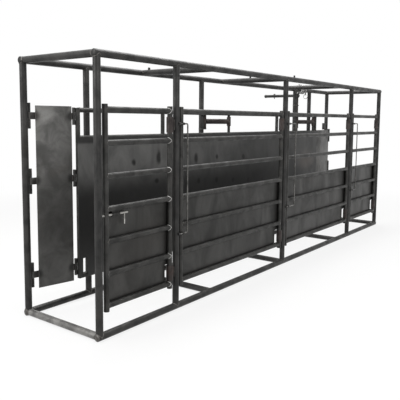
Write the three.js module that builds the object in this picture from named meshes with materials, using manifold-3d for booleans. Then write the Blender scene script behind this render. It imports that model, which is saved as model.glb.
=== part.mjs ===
// Adjustable livestock alley: a box frame of round steel tube with four swing-out side gates,
// and a long sheeted wall on parallel swing arms that a lever moves to set the alley's width.
// Millimetres, +Z up, +X along the alley towards the exit, gates on the -Y side.
// The origin is on the ground under the middle sill.
import * as THREE from 'three';
import * as BufferGeometryUtils from 'three/addons/utils/BufferGeometryUtils.js';
import Module from 'manifold-3d';

const wasm = await Module();
wasm.setup();

// Box frame
const frameHeight = 2137;
const frameWidth = 870;
const entryBay = 880;
const middleBay = 1910;
const exitBay = 1120;
const frameTubeOd = 57.2;
const frameTubeWall = 3.2;
const railOverhang = 6;
const outerSides = 12;
const boreSides = 8;

// Rear posts, measured from the entry end
const entryStayOffset = 655;
const middleCarrierOffset = 2377;
const exitCarrierOffset = 4687;

// Clearances and overruns
const fitGap = 0.3;
const runningGap = 0.5;
const weldSink = 1;
const overrun = 5;

// Small lugs welded on top of the frame
const lugLength = 30;
const lugWidth = 20;
const lugHeight = 22;
const frontLugOffset = 2985;
const entryTieLugShare = 0.9;
const middleTieLugShare = 0.54;

// Gates
const gateTubeOd = 44.5;
const gateTubeWall = 3;
const gateGroundGap = 225;
const gateTopDrop = 400;
const gateRailCount = 7;
const gateSheetRailCount = 4;
const gateSheetThickness = 3;
const stileRise = 17;
const stileDrop = 20;
const stileCapThickness = 5;
const hingeOffset = 82;
const latchOffset = 62;
const entryLatchOffset = 73;
const entrySheetNotchWidth = 36;
const sheetNotchWidth = 64;
const sheetNotchRoom = 8;

// Gate hinge sleeves: one hangs between the two top rails, one stands between the two bottom rails
const sleeveWall = 6;
const sleeveNearGap = 26;
const sleeveFarGap = 43;
const lowerSleeveNearGap = 6;
const lowerSleeveFarGap = 63;
const sleeveWebThickness = 8;
const sleeveWebChamfer = 22;
const sleeveSides = 16;

// Latch rods, guide bushes and keepers
const rodDiameter = 12.7;
const rodPlaneOffset = 39;
const rodUpperDrop = 127;
const rodLowerRise = 443;
const rodTipOffset = 15;
const rodLegOffsets = [108, 190, 165];
const rodBendRadius = 16;
const rodBendSteps = 4;
const rodSides = 8;
const bushOd = 22;
const bushLength = 20;
const bushShift = 10;
const bushPadWidth = 12;
const bushSeatShare = 0.75;

// Slide bolt of the entry gate
const boltDiameter = 19;
const boltDrop = 46;
const boltTipGap = 3;
const boltLength = 266;
const boltHandleDiameter = 12.7;
const boltHandleDrop = 90;
const boltHandleInset = 34;
const boltGuideOd = 30;
const boltGuideOffset = 98;
const boltGuideLength = 76;
const boltGuidePlate = 8;

// Swinging wall
const wallTubeOd = 42.2;
const wallTubeWall = 3;
const wallSheetThickness = 3;
const wallSheetDrop = 659;
const wallGroundGap = 225;
const entryStileOffset = 38;
const uprightOffset = 62;
const stayOffsets = [1603, 4003];
const pivotSetback = 7.6;
const lowerArmWindow = 213;
const upperArmWindow = 240;
const slotWidth = 52;
const slotLow = 12;
const slotHeight = 165;

// Swing arms
const armLength = 404;
const armRestAngle = 10.95 * Math.PI / 180;
const armTubeInset = 18;
const middlePivotOffset = 58;
const exitPivotOffset = 78;
const armTubeOd = 60.3;
const lowerArmDrop = 22;
const upperArmRise = 30;
const barrelOd = 48.3;
const carrierBarrelHeight = 165;
const wallBarrelHeight = 110;
const pivotPinOd = 33.4;
const lugPlateThickness = 10;
const lugPlateHalfWidth = 26;
const lugPlateSteps = 6;

// Lever and its shaft
const leverDrop = 117;
const leverTubeOd = 42.4;
const leverTubeWall = 3;
const leverReach = 545;
const leverTail = 30;
const leverHubOd = 54;
const leverHubHeight = 56;
const leverBallOd = 50;
const shaftDrop = 40;
const shaftRise = 6;
const topLugDrop = 150;
const leverPinDiameter = 14;
const leverPinShare = 0.72;
const leverPinHead = 30;
const leverPinHeadHeight = 14;
const leverPinTail = 18;

// Filler plates
const fillerThickness = 4;
const fillerBottom = 210;
const entryFillerRise = 273;
const exitFillerRise = 22;
const entryPintleOffset = 46;
const exitPintleSetback = 46;
const exitPintleShift = 24;
const pintleOd = 16;
const knuckleOd = 26;
const knuckleHeight = 60;
const postLugHeight = 75;
const wallLugHeight = 45;
const pintleLugWidth = 22;
const fillerPostGap = 54;
const fillerWallGap = 20;
const exitFillerGap = 20;
const entryFillerHingeShares = [0.08, 0.595, 0.945];
const exitFillerLength = 564;
const exitFillerRestAngle = 3.5 * Math.PI / 180;
const exitFillerHingeShares = [0.1, 0.52, 0.93];
const stopBracketWidth = 84;
const stopBracketHeight = 105;
const stopBracketRise = 6;
const stopBracketDepth = 34;

// Tie chain wound on the rear top rail, and the ring on its end
const chainDiameter = 13;
const chainTurns = 4;
const chainTurnSteps = 24;
const chainSides = 6;
const chainPitch = 34;
const chainSlack = 6;
const chainCarrierOffset = 125;
const chainTailDrop = 52;
const ringWireDiameter = 9;
const ringOd = 74;

// Finishes
const steel = (color, roughness) => new THREE.MeshStandardMaterial({ color, roughness, metalness: 0.55 });
const frameSteel = steel(0x3a3a39, 0.55);
const gateSteel = steel(0x403f3c, 0.55);
const sheetSteel = steel(0x4b4a48, 0.5);
const fillerSteel = steel(0x5f5f5e, 0.5);
const rodSteel = steel(0x8a8a87, 0.35);
const hingeSteel = steel(0x3b3634, 0.6);

// The bore that a faceted pin or rod turns in without its corners touching
const roomFor = (od, sides) => od / Math.cos(Math.PI / sides) + 2 * runningGap;

// Derived places of the frame
const frameLength = entryBay + middleBay + middleBay + exitBay;
const entryX = -(entryBay + middleBay);
const exitX = entryX + frameLength;
const frontY = -frameWidth / 2;
const rearY = frameWidth / 2;
const tubeRadius = frameTubeOd / 2;
const lowZ = tubeRadius;
const highZ = frameHeight - tubeRadius;
const frameBore = frameTubeOd - 2 * frameTubeWall;
const frontPostX = [entryX, entryX + entryBay, 0, middleBay, exitX];
const middleCarrierX = entryX + middleCarrierOffset;
const exitCarrierX = entryX + exitCarrierOffset;
const rearPostX = [entryX, entryX + entryStayOffset, middleCarrierX, exitCarrierX,
  exitX - entryStayOffset, exitX];
const crossX = [entryX, entryX / 2, 0, exitX / 2, exitX];

// Derived places of the gates and their latches
const gateRadius = gateTubeOd / 2;
const gateBore = gateTubeOd - 2 * gateTubeWall;
const gateTop = frameHeight - gateTopDrop;
const gateFirstRailZ = gateGroundGap + gateRadius;
const gateRailStep = (gateTop - gateRadius - gateFirstRailZ) / (gateRailCount - 1);
const gateRailZ = Array.from({ length: gateRailCount }, (unused, i) => gateFirstRailZ + i * gateRailStep);
const gateTopRailZ = gateRailZ[gateRailCount - 1];
const stileBottom = gateGroundGap - stileDrop;
const stileHeight = gateTop + stileRise - stileBottom;
const rodUpperZ = gateTop - rodUpperDrop;
const rodLowerZ = gateGroundGap + rodLowerRise;
const gateSheetTop = gateRailZ[gateSheetRailCount - 1];
const boltZ = gateSheetTop - boltDrop;
const rodBore = rodDiameter + 2 * runningGap;
const boltBore = boltDiameter + 2 * runningGap;

// Derived places of the swinging wall at rest
const wallPivotY = rearY - armLength * Math.sin(armRestAngle);
const wallY = wallPivotY - pivotSetback;
const armRunX = armLength * Math.cos(armRestAngle);
const entryPivotX = entryX + entryPintleOffset;
const middlePivotX = middleCarrierX + middlePivotOffset;
const exitPivotX = exitCarrierX + exitPivotOffset;
const wallPivotX = [entryPivotX + armRunX, middlePivotX + armRunX, exitPivotX + armRunX];
const entryStileX = wallPivotX[0] + entryStileOffset;
const wallUprightX = [entryStileX, wallPivotX[1] + uprightOffset, wallPivotX[2] + uprightOffset];
const wallStayX = stayOffsets.map((offset) => entryX + offset);
const wallRadius = wallTubeOd / 2;
const wallSheetTop = frameHeight - wallSheetDrop;
const wallRailZ = [
  wallGroundGap + wallRadius,
  wallGroundGap + wallRadius + lowerArmWindow,
  (wallGroundGap + wallRadius + lowerArmWindow + wallSheetTop) / 2,
  wallSheetTop,
  wallSheetTop + upperArmWindow,
];
const lowerArmZ = (wallRailZ[0] + wallRailZ[1]) / 2 - lowerArmDrop;
const upperArmZ = (wallRailZ[3] + wallRailZ[4]) / 2 + upperArmRise;
const pivotBore = roomFor(pivotPinOd, outerSides);
const leverZ = highZ + tubeRadius - leverDrop;
const entryFillerTop = wallSheetTop + entryFillerRise;
const exitFillerTop = wallSheetTop + exitFillerRise;

// Points of a regular outline with a flat square to each axis
function flatSidedOutline(acrossFlats, sides) {
  const radius = acrossFlats / 2 / Math.cos(Math.PI / sides);
  const points = [];
  for (let i = 0; i < sides; i += 1) {
    const angle = (i + 0.5) * 2 * Math.PI / sides;
    points.push(new THREE.Vector2(radius * Math.cos(angle), radius * Math.sin(angle)));
  }
  return points;
}

// Turns a shape made along +Z so that it runs along the named axis, then moves it to its start
function lay(geometry, axis, x, y, z) {
  if (axis === 'x') geometry.rotateY(Math.PI / 2);
  if (axis === 'y') geometry.rotateX(-Math.PI / 2);
  return geometry.translate(x, y, z);
}

// A straight tube, or a bar where the bore is zero
function tube(axis, x, y, z, length, od, bore, sides = outerSides) {
  const shape = new THREE.Shape(flatSidedOutline(od, sides));
  if (bore > 0) shape.holes.push(new THREE.Path(flatSidedOutline(bore, boreSides)));
  return lay(new THREE.ExtrudeGeometry(shape, { depth: length, bevelEnabled: false }), axis, x, y, z);
}

// A box between two corners
function block(left, front, bottom, right, back, top) {
  const box = new THREE.BoxGeometry(right - left, back - front, top - bottom);
  return box.translate((left + right) / 2, (front + back) / 2, (bottom + top) / 2);
}

// A closed solid from a geometry whose shared corners are merged
function solid(geometry) {
  const bare = geometry.clone();
  bare.deleteAttribute('normal');
  bare.deleteAttribute('uv');
  const merged = BufferGeometryUtils.mergeVertices(bare);
  return new wasm.Manifold(new wasm.Mesh({
    numProp: 3,
    vertProperties: merged.attributes.position.array,
    triVerts: Uint32Array.from(merged.index.array),
  }));
}

// The solids of several geometries welded into one
function weld(geometries) {
  let whole = solid(geometries[0]);
  for (const geometry of geometries.slice(1)) whole = whole.add(solid(geometry));
  return whole;
}

// A solid with several geometries cut from it
function cut(body, geometries) {
  let left = body;
  for (const geometry of geometries) left = left.subtract(solid(geometry));
  return left;
}

// A geometry from a solid
function shapeOf(body) {
  const mesh = body.getMesh();
  const geometry = new THREE.BufferGeometry();
  geometry.setAttribute('position', new THREE.BufferAttribute(mesh.vertProperties, mesh.numProp));
  geometry.setIndex(new THREE.BufferAttribute(mesh.triVerts, 1));
  geometry.computeVertexNormals();
  return geometry;
}

const alley = new THREE.Group();

// Names a piece and puts it in its group
function place(name, geometry, material, parent = alley) {
  const mesh = new THREE.Mesh(geometry, material);
  mesh.name = name;
  parent.add(mesh);
  return mesh;
}

// Bars that take away the room of the long rails and of the posts
const copeOd = frameTubeOd + 2 * fitGap;
const railRun = tubeRadius + railOverhang;
const railStartX = entryX - railRun;
const railLength = frameLength + 2 * railRun;
const railCope = (y, z) => tube('x', railStartX, y, z, railLength, copeOd, 0);
const postCope = (x, y) => tube('z', x, y, 0, frameHeight, copeOd, 0);

// Long rails, which run a little past the corner posts
function makeRails() {
  const rows = [['front', frontY], ['rear', rearY]];
  const levels = [['bottom', lowZ], ['top', highZ]];
  for (const [side, y] of rows) {
    for (const [level, z] of levels) {
      let rail = weld([tube('x', railStartX, y, z, railLength, frameTubeOd, frameBore)]);
      if (side === 'front' && level === 'top') rail = rail.add(solid(topLug(entryX + frontLugOffset, y)));
      place(`${side}_${level}_rail`, shapeOf(rail), frameSteel);
    }
  }
}

// A small lug standing on a top tube
function topLug(x, y) {
  const top = highZ + tubeRadius;
  const halfLength = lugLength / 2;
  const halfWidth = lugWidth / 2;
  return block(x - halfLength, y - halfWidth, top - weldSink, x + halfLength, y + halfWidth, top + lugHeight);
}

// Sills on the ground and ties across the top, coped between the long rails
function makeCrossTubes() {
  const lugShares = { 1: entryTieLugShare, 2: middleTieLugShare };
  crossX.forEach((x, i) => {
    for (const [name, z] of [['sill', lowZ], ['top_tie', highZ]]) {
      const bare = weld([tube('y', x, frontY, z, frameWidth, frameTubeOd, frameBore)]);
      let body = cut(bare, [railCope(frontY, z), railCope(rearY, z)]);
      if (frontPostX.includes(x)) body = cut(body, [postCope(x, frontY)]);
      if (rearPostX.includes(x)) body = cut(body, [postCope(x, rearY)]);
      const hasLug = name === 'top_tie' && lugShares[i];
      if (hasLug) body = body.add(solid(topLug(x, frontY + frameWidth * lugShares[i])));
      place(`${name}_${i + 1}`, shapeOf(body), frameSteel);
    }
  });
}

// A post between the bottom and top tubes, before anything is welded to it
function postTube(x, y) {
  const post = weld([tube('z', x, y, lowZ, highZ - lowZ, frameTubeOd, frameBore)]);
  return cut(post, [railCope(y, lowZ), railCope(y, highZ)]);
}

// A post with the two keepers on its front that a gate's latch rod slides into
function keeperPost(x) {
  let post = postTube(x, frontY);
  const y = frontY - rodPlaneOffset;
  for (const z of [rodUpperZ, rodLowerZ]) {
    post = post.add(solid(tube('x', x - bushLength / 2, y, z, bushLength, bushOd, 0)));
    post = cut(post, [tube('x', x - bushLength, y, z, 2 * bushLength, rodBore, 0, rodSides)]);
  }
  return post;
}

// The entry post, drilled through its wall for the slide bolt
function boltPost(x) {
  return cut(postTube(x, frontY), [tube('x', x, frontY, boltZ, frameTubeOd, boltBore, 0, rodSides)]);
}

// Front posts: the first is drilled for the slide bolt, the next three carry keepers
function makeFrontPosts() {
  frontPostX.forEach((x, i) => {
    let post;
    if (i === 0) post = boltPost(x);
    else if (i === frontPostX.length - 1) post = postTube(x, frontY);
    else post = keeperPost(x);
    place(`front_post_${i + 1}`, shapeOf(post), frameSteel);
  });
}

// A flat lug plate from a post's centre to round a pivot
function lugPlate(x, y, z, reach) {
  const shape = new THREE.Shape();
  shape.moveTo(0, -lugPlateHalfWidth);
  shape.lineTo(reach, -lugPlateHalfWidth);
  for (let i = 1; i <= lugPlateSteps; i += 1) {
    const angle = -Math.PI / 2 + Math.PI * i / lugPlateSteps;
    shape.lineTo(reach + lugPlateHalfWidth * Math.cos(angle), lugPlateHalfWidth * Math.sin(angle));
  }
  shape.lineTo(0, lugPlateHalfWidth);
  const plate = new THREE.ExtrudeGeometry(shape, { depth: lugPlateThickness, bevelEnabled: false });
  return plate.translate(x, y, z);
}

// Heights of the undersides of the lug plates that hold an arm's barrel
function lugHeightsAt(armZ) {
  const half = carrierBarrelHeight / 2 + runningGap;
  return [armZ - half - lugPlateThickness, armZ + half];
}

// The middle carrier post: two pairs of lugs, each pair with a pin between
function middleCarrier(post) {
  let body = post;
  for (const armZ of [lowerArmZ, upperArmZ]) {
    const [low, high] = lugHeightsAt(armZ);
    for (const z of [low, high]) {
      body = body.add(solid(lugPlate(middleCarrierX, rearY, z, middlePivotOffset)));
    }
    const pinLength = high - low + lugPlateThickness;
    body = body.add(solid(tube('z', middlePivotX, rearY, low, pinLength, pivotPinOd, 0)));
  }
  return body;
}

// The exit carrier post: bored lugs that the lever shaft turns in
function exitCarrier(post) {
  const heights = [...lugHeightsAt(lowerArmZ), ...lugHeightsAt(upperArmZ), leverZ - topLugDrop];
  let body = post;
  for (const z of heights) body = body.add(solid(lugPlate(exitCarrierX, rearY, z, exitPivotOffset)));
  return cut(body, [tube('z', exitPivotX, rearY, 0, frameHeight, pivotBore, 0)]);
}

// Heights of the undersides of a filler plate's knuckles
function knuckleHeights(bottom, top, shares) {
  return shares.map((share) => bottom + (top - bottom) * share - knuckleHeight / 2);
}

// Pintles: lugs below and above each knuckle and a pin between; side is +1 or -1 along X
function pintles(x, y, side, offset, lugHeight, heights) {
  const pieces = [];
  const outer = side * (offset + knuckleOd / 2);
  const left = Math.min(x, x + outer);
  const right = Math.max(x, x + outer);
  const front = y - pintleLugWidth / 2;
  const back = y + pintleLugWidth / 2;
  for (const z of heights) {
    const lowTop = z - fitGap;
    const highBase = z + knuckleHeight + fitGap;
    pieces.push(block(left, front, lowTop - lugHeight, right, back, lowTop));
    pieces.push(block(left, front, highBase, right, back, highBase + lugHeight));
    const pinLength = highBase - lowTop + 2 * weldSink;
    pieces.push(tube('z', x + side * offset, y, lowTop - weldSink, pinLength, pintleOd, 0));
  }
  return pieces;
}

// Pintles like these for the exit filler, on the front of the last rear post
function exitPintles(heights) {
  const x = exitX + exitPintleShift;
  const left = x - pintleLugWidth / 2;
  const front = rearY - exitPintleSetback - knuckleOd / 2;
  const pieces = [];
  for (const z of heights) {
    const lowTop = z - fitGap;
    const highBase = z + knuckleHeight + fitGap;
    for (const base of [lowTop - postLugHeight, highBase]) {
      pieces.push(block(left, front, base, left + pintleLugWidth, rearY, base + postLugHeight));
    }
    const pinLength = highBase - lowTop + 2 * weldSink;
    pieces.push(tube('z', x, rearY - exitPintleSetback, lowTop - weldSink, pinLength, pintleOd, 0));
  }
  return pieces;
}

// The bracket that stops the exit filler, on the last rear post
function stopBracket() {
  const front = rearY - stopBracketDepth / 2;
  const base = exitFillerTop + stopBracketRise;
  const left = exitX - tubeRadius - stopBracketWidth;
  return block(left, front, base, exitX, front + stopBracketDepth, base + stopBracketHeight);
}

const entryKnuckleZ = knuckleHeights(fillerBottom, entryFillerTop, entryFillerHingeShares);
const exitKnuckleZ = knuckleHeights(fillerBottom, exitFillerTop, exitFillerHingeShares);

// Opens a post's bore again after lugs were welded across it
function clearBore(body, x, y) {
  return body.subtract(solid(tube('z', x, y, lowZ, highZ - lowZ, frameBore, 0, boreSides)));
}

// Rear posts: plain stays, carriers of the swing arms and hinge posts of the filler plates
function makeRearPosts() {
  rearPostX.forEach((x, i) => {
    let post = postTube(x, rearY);
    let pieces = [];
    if (i === 0) pieces = pintles(x, rearY, 1, entryPintleOffset, postLugHeight, entryKnuckleZ);
    if (i === rearPostX.length - 1) pieces = [...exitPintles(exitKnuckleZ), stopBracket()];
    for (const piece of pieces) post = post.add(solid(piece));
    if (x === middleCarrierX) post = middleCarrier(post);
    if (x === exitCarrierX) post = exitCarrier(post);
    place(`rear_post_${i + 1}`, shapeOf(clearBore(post, x, rearY)), frameSteel);
  });
}

// A bush on the front of a gate's stile, with the pad that welds it there
function bushPieces(x, z) {
  const padBack = -gateRadius * bushSeatShare;
  const padFront = -rodPlaneOffset + bushOd / 2 - 2 * weldSink;
  const half = bushPadWidth / 2;
  return [
    tube('x', x - bushShift - bushLength / 2, -rodPlaneOffset, z, bushLength, bushOd, 0),
    block(x - bushShift - half, padFront, z - half, x - bushShift + half, padBack, z + half),
  ];
}

// The slide bolt's guide: a sleeve hung on a plate under the rail above it
function boltGuidePieces(x) {
  const left = x - boltGuideLength / 2;
  const halfPlate = boltGuidePlate / 2;
  return [
    tube('x', left, 0, boltZ, boltGuideLength, boltGuideOd, 0),
    block(left, -halfPlate, boltZ, left + boltGuideLength, halfPlate, gateSheetTop),
  ];
}

// What is welded on a gate for its latch, and what is drilled for it
function latchPieces(latchX, isEntry) {
  if (isEntry) return boltGuidePieces(latchX + boltGuideOffset);
  return [rodUpperZ, rodLowerZ].flatMap((z) => bushPieces(latchX, z));
}

function latchBores(latchX, isEntry) {
  const start = latchX - gateTubeOd;
  if (isEntry) {
    const run = gateTubeOd + boltGuideOffset + boltGuideLength;
    return [tube('x', start, 0, boltZ, run, boltBore, 0, rodSides)];
  }
  return [rodUpperZ, rodLowerZ].map(
    (z) => tube('x', start, -rodPlaneOffset, z, 2 * gateTubeOd, rodBore, 0, rodSides),
  );
}

// One welded gate frame: two stiles, the rails and the latch's guide bushes
function gateFrame(span, isEntry) {
  const outer = [];
  const bores = [];
  for (const x of [0, -span]) {
    outer.push(tube('z', x, 0, stileBottom, stileHeight, gateTubeOd, 0));
    const boreHeight = stileHeight + overrun - stileCapThickness;
    bores.push(tube('z', x, 0, stileBottom - overrun, boreHeight, gateBore, 0, boreSides));
  }
  for (const z of gateRailZ) {
    outer.push(tube('x', -span, 0, z, span, gateTubeOd, 0));
    bores.push(tube('x', -span, 0, z, span, gateBore, 0, boreSides));
  }
  outer.push(...latchPieces(-span, isEntry));
  return cut(weld(outer), [...bores, ...latchBores(-span, isEntry)]);
}

// Heights of the ends of a gate's lower hinge sleeve
const lowerSleeveLow = gateRailZ[0] + gateRadius + lowerSleeveNearGap;
const lowerSleeveHigh = gateRailZ[1] - gateRadius - lowerSleeveFarGap;

// Sheet on the alley side of the gate, notched round the lower hinge sleeve
function gateSheet(span, notchWidth) {
  const notchX = -notchWidth;
  const shape = new THREE.Shape();
  shape.moveTo(-span, gateRailZ[0]);
  shape.lineTo(0, gateRailZ[0]);
  shape.lineTo(0, lowerSleeveLow - sheetNotchRoom);
  shape.lineTo(notchX, lowerSleeveLow - sheetNotchRoom);
  shape.lineTo(notchX, lowerSleeveHigh + sheetNotchRoom);
  shape.lineTo(0, lowerSleeveHigh + sheetNotchRoom);
  shape.lineTo(0, gateSheetTop);
  shape.lineTo(-span, gateSheetTop);
  const sheet = new THREE.ExtrudeGeometry(shape, { depth: gateSheetThickness, bevelEnabled: false });
  sheet.rotateX(Math.PI / 2);
  return sheet.translate(0, gateRadius + gateSheetThickness, 0);
}

// A hinge sleeve round the stile, with the web that holds it to the post
function hingeSleeve(low, high) {
  const bore = roomFor(gateTubeOd, outerSides);
  const od = bore + 2 * sleeveWall;
  const web = new THREE.Shape();
  const reach = hingeOffset - tubeRadius;
  web.moveTo(od / 2 - weldSink, low + weldSink);
  web.lineTo(reach, low + sleeveWebChamfer);
  web.lineTo(reach, high - sleeveWebChamfer);
  web.lineTo(od / 2 - weldSink, high - weldSink);
  const plate = new THREE.ExtrudeGeometry(web, { depth: sleeveWebThickness, bevelEnabled: false });
  plate.rotateX(Math.PI / 2);
  plate.translate(0, sleeveWebThickness / 2, 0);
  const ring = tube('z', 0, 0, low, high - low, od, 0, sleeveSides);
  const room = tube('z', 0, 0, low - overrun, high - low + 2 * overrun, bore, 0, sleeveSides);
  return cut(weld([ring, plate]), [room]);
}

// The two sleeves of a gate, each between a pair of rails
function placeSleeves(number, group) {
  const upperLow = gateRailZ[gateRailCount - 2] + gateRadius + sleeveFarGap;
  const upperHigh = gateTopRailZ - gateRadius - sleeveNearGap;
  place(`gate_${number}_upper_hinge`, shapeOf(hingeSleeve(upperLow, upperHigh)), hingeSteel, group);
  place(`gate_${number}_lower_hinge`, shapeOf(hingeSleeve(lowerSleeveLow, lowerSleeveHigh)), hingeSteel, group);
}

// A round rod through a row of points, with one step between neighbours
class BentRod extends THREE.Curve {
  constructor(points) {
    super();
    this.points = points;
  }

  getPoint(t) {
    const last = this.points.length - 1;
    const at = Math.min(Math.max(t, 0), 1) * last;
    const i = Math.min(Math.floor(at), last - 1);
    return this.points[i].clone().lerp(this.points[i + 1], at - i);
  }

  getUtoTmapping(u) {
    return u;
  }
}

// The section and length of a rod along a row of points
function rodAlong(points, diameter, sides) {
  const shape = new THREE.Shape(flatSidedOutline(diameter, sides));
  const path = new BentRod(points);
  return new THREE.ExtrudeGeometry(shape, { steps: points.length - 1, extrudePath: path });
}

// Points of a quarter bend about a centre in the XZ plane
function bendPoints(centreX, y, centreZ, startAngle) {
  const points = [];
  for (let i = 0; i <= rodBendSteps; i += 1) {
    const angle = startAngle - Math.PI / 2 * i / rodBendSteps;
    const x = centreX + rodBendRadius * Math.cos(angle);
    points.push(new THREE.Vector3(x, y, centreZ + rodBendRadius * Math.sin(angle)));
  }
  return points;
}

// A latch rod: both ends bend back to slide through the stile's bushes into the post's keepers
function latchRod(postX, legOffset) {
  const y = frontY - rodPlaneOffset;
  const legX = postX + legOffset;
  const bendX = legX - rodBendRadius;
  const tipX = postX + rodTipOffset;
  return rodAlong([
    new THREE.Vector3(tipX, y, rodUpperZ),
    ...bendPoints(bendX, y, rodUpperZ - rodBendRadius, Math.PI / 2),
    ...bendPoints(bendX, y, rodLowerZ + rodBendRadius, 0),
    new THREE.Vector3(tipX, y, rodLowerZ),
  ], rodDiameter, rodSides);
}

// The entry gate's slide bolt with its hanging handle rod
function slideBolt(postX) {
  const y = frontY;
  const tipX = postX + tubeRadius + boltTipGap;
  const handleX = tipX + boltLength - boltHandleInset;
  return weld([
    tube('x', tipX, y, boltZ, boltLength, boltDiameter, 0, rodSides),
    tube('z', handleX, y, boltZ - boltHandleDrop, boltHandleDrop, boltHandleDiameter, 0, rodSides),
  ]);
}

// A gate hangs on the post at its exit end and latches on the one at its entry end
function makeGate(number, latchPostX, hingePostX) {
  const group = new THREE.Group();
  group.position.set(hingePostX - hingeOffset, frontY, 0);
  alley.add(group);
  const isEntry = number === 1;
  const span = hingePostX - hingeOffset - latchPostX - (isEntry ? entryLatchOffset : latchOffset);
  place(`gate_${number}_frame`, shapeOf(gateFrame(span, isEntry)), gateSteel, group);
  const notchWidth = isEntry ? entrySheetNotchWidth : sheetNotchWidth;
  place(`gate_${number}_sheet`, gateSheet(span, notchWidth), sheetSteel, group);
  placeSleeves(number, group);
  if (isEntry) place('slide_bolt_1', shapeOf(slideBolt(latchPostX)), rodSteel);
  else place(`latch_rod_${number}`, latchRod(latchPostX, rodLegOffsets[number - 2]), rodSteel);
}

// The wall's welded frame: five uprights, of which the middle one stops under the top window
function wallFrame() {
  const [leftX, middleX, rightX] = wallUprightX;
  const [nearStayX, farStayX] = wallStayX;
  const bore = wallTubeOd - 2 * wallTubeWall;
  const top = wallRailZ[4] + wallRadius;
  const outer = [];
  const bores = [];
  const ends = [[leftX, top], [nearStayX, top], [middleX, wallSheetTop], [farStayX, top], [rightX, top]];
  for (const [x, end] of ends) {
    const boreStart = wallGroundGap - overrun;
    const boreLength = end - wallRadius - boreStart;
    outer.push(tube('z', x, wallY, wallGroundGap, end - wallGroundGap, wallTubeOd, 0));
    bores.push(tube('z', x, wallY, boreStart, boreLength, bore, 0, boreSides));
  }
  for (const z of wallRailZ) {
    outer.push(tube('x', leftX, wallY, z, rightX - leftX, wallTubeOd, 0));
    bores.push(tube('x', leftX, wallY, z, rightX - leftX, bore, 0, boreSides));
  }
  let whole = cut(weld(outer), bores);
  const hinges = pintles(leftX, wallPivotY, -1, entryStileOffset, wallLugHeight, entryKnuckleZ);
  for (const piece of [...wallPins(), ...hinges]) whole = whole.add(solid(piece));
  return cut(whole, [bores[0]]);
}

// The wall's pivot pins, between its two lowest rails and its two highest
function wallPins() {
  const windows = [[wallRailZ[0], lowerArmWindow], [wallRailZ[3], upperArmWindow]];
  return wallPivotX.slice(1).flatMap((x) => windows.map(([z, height]) => {
    const length = height - wallTubeOd + 2 * weldSink;
    return tube('z', x, wallPivotY, z + wallRadius - weldSink, length, pivotPinOd, 0);
  }));
}

// The wall's sheet on its alley side, with the open corner beside the entry stile
function wallSheet() {
  const leftX = wallUprightX[0] - wallRadius;
  const rightX = wallUprightX[2] + wallRadius;
  const slotLeft = leftX + wallTubeOd;
  const shape = new THREE.Shape();
  shape.moveTo(leftX, wallGroundGap);
  shape.lineTo(rightX, wallGroundGap);
  shape.lineTo(rightX, wallSheetTop);
  shape.lineTo(leftX, wallSheetTop);
  const slot = new THREE.Path();
  slot.moveTo(slotLeft, wallGroundGap + slotLow);
  slot.lineTo(slotLeft, wallGroundGap + slotLow + slotHeight);
  slot.lineTo(slotLeft + slotWidth, wallGroundGap + slotLow + slotHeight);
  slot.lineTo(slotLeft + slotWidth, wallGroundGap + slotLow);
  shape.holes.push(slot);
  const sheet = new THREE.ExtrudeGeometry(shape, { depth: wallSheetThickness, bevelEnabled: false });
  sheet.rotateX(Math.PI / 2);
  return sheet.translate(0, wallY - wallRadius, 0);
}

// A swing arm: a tube between two bored barrels, along +X from its carrier's pivot
function swingArm() {
  const carrierLow = -carrierBarrelHeight / 2;
  const wallLow = -wallBarrelHeight / 2;
  const body = weld([
    tube('x', armTubeInset, 0, 0, armLength - 2 * armTubeInset, armTubeOd, 0),
    tube('z', 0, 0, carrierLow, carrierBarrelHeight, barrelOd, 0),
    tube('z', armLength, 0, wallLow, wallBarrelHeight, barrelOd, 0),
  ]);
  const boreLow = carrierLow - overrun;
  const boreHeight = carrierBarrelHeight + 2 * overrun;
  return cut(body, [
    tube('z', 0, 0, boreLow, boreHeight, pivotBore, 0),
    tube('z', armLength, 0, boreLow, boreHeight, pivotBore, 0),
  ]);
}

// The four swing arms, two on each carrier post
function makeSwingArms() {
  const carriers = [['middle', middlePivotX], ['exit', exitPivotX]];
  const levels = [['lower', lowerArmZ], ['upper', upperArmZ]];
  for (const [where, x] of carriers) {
    for (const [level, z] of levels) {
      const arm = place(`${where}_${level}_arm`, shapeOf(swingArm()), hingeSteel);
      arm.position.set(x, rearY, z);
      arm.rotation.z = -armRestAngle;
    }
  }
}

// The lever's tube, hub and ball end, and the pin that drops through it
function makeLever() {
  const group = new THREE.Group();
  group.position.set(exitPivotX, rearY, leverZ);
  alley.add(group);
  const hubLow = -leverHubHeight / 2;
  const pinY = leverReach * leverPinShare;
  const ball = new THREE.SphereGeometry(leverBallOd / 2, outerSides, boreSides).rotateX(Math.PI / 2);
  const leverBore = leverTubeOd - 2 * leverTubeWall;
  const outer = weld([
    tube('y', 0, -leverTail, 0, leverReach + leverTail, leverTubeOd, 0),
    tube('z', 0, 0, hubLow, leverHubHeight, leverHubOd, 0),
    ball.translate(0, leverReach, 0),
  ]);
  const body = cut(outer, [
    tube('z', 0, 0, hubLow - overrun, leverHubHeight + 2 * overrun, pivotPinOd + 2 * fitGap, 0),
    tube('y', 0, leverHubOd / 2, 0, leverReach - leverHubOd / 2 - leverBallOd / 2, leverBore, 0, boreSides),
    tube('z', 0, pinY, -leverTubeOd, 2 * leverTubeOd, leverPinDiameter + 2 * fitGap, 0, rodSides),
  ]);
  place('adjusting_lever', shapeOf(body), frameSteel, group);
  const pinLow = -leverTubeOd / 2 - leverPinTail;
  const headBase = leverTubeOd / 2 + fitGap;
  place('lever_pin', shapeOf(weld([
    tube('z', 0, pinY, pinLow, headBase - pinLow + weldSink, leverPinDiameter, 0, rodSides),
    tube('z', 0, pinY, headBase, leverPinHeadHeight, leverPinHead, 0),
  ])), rodSteel, group);
}

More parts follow.
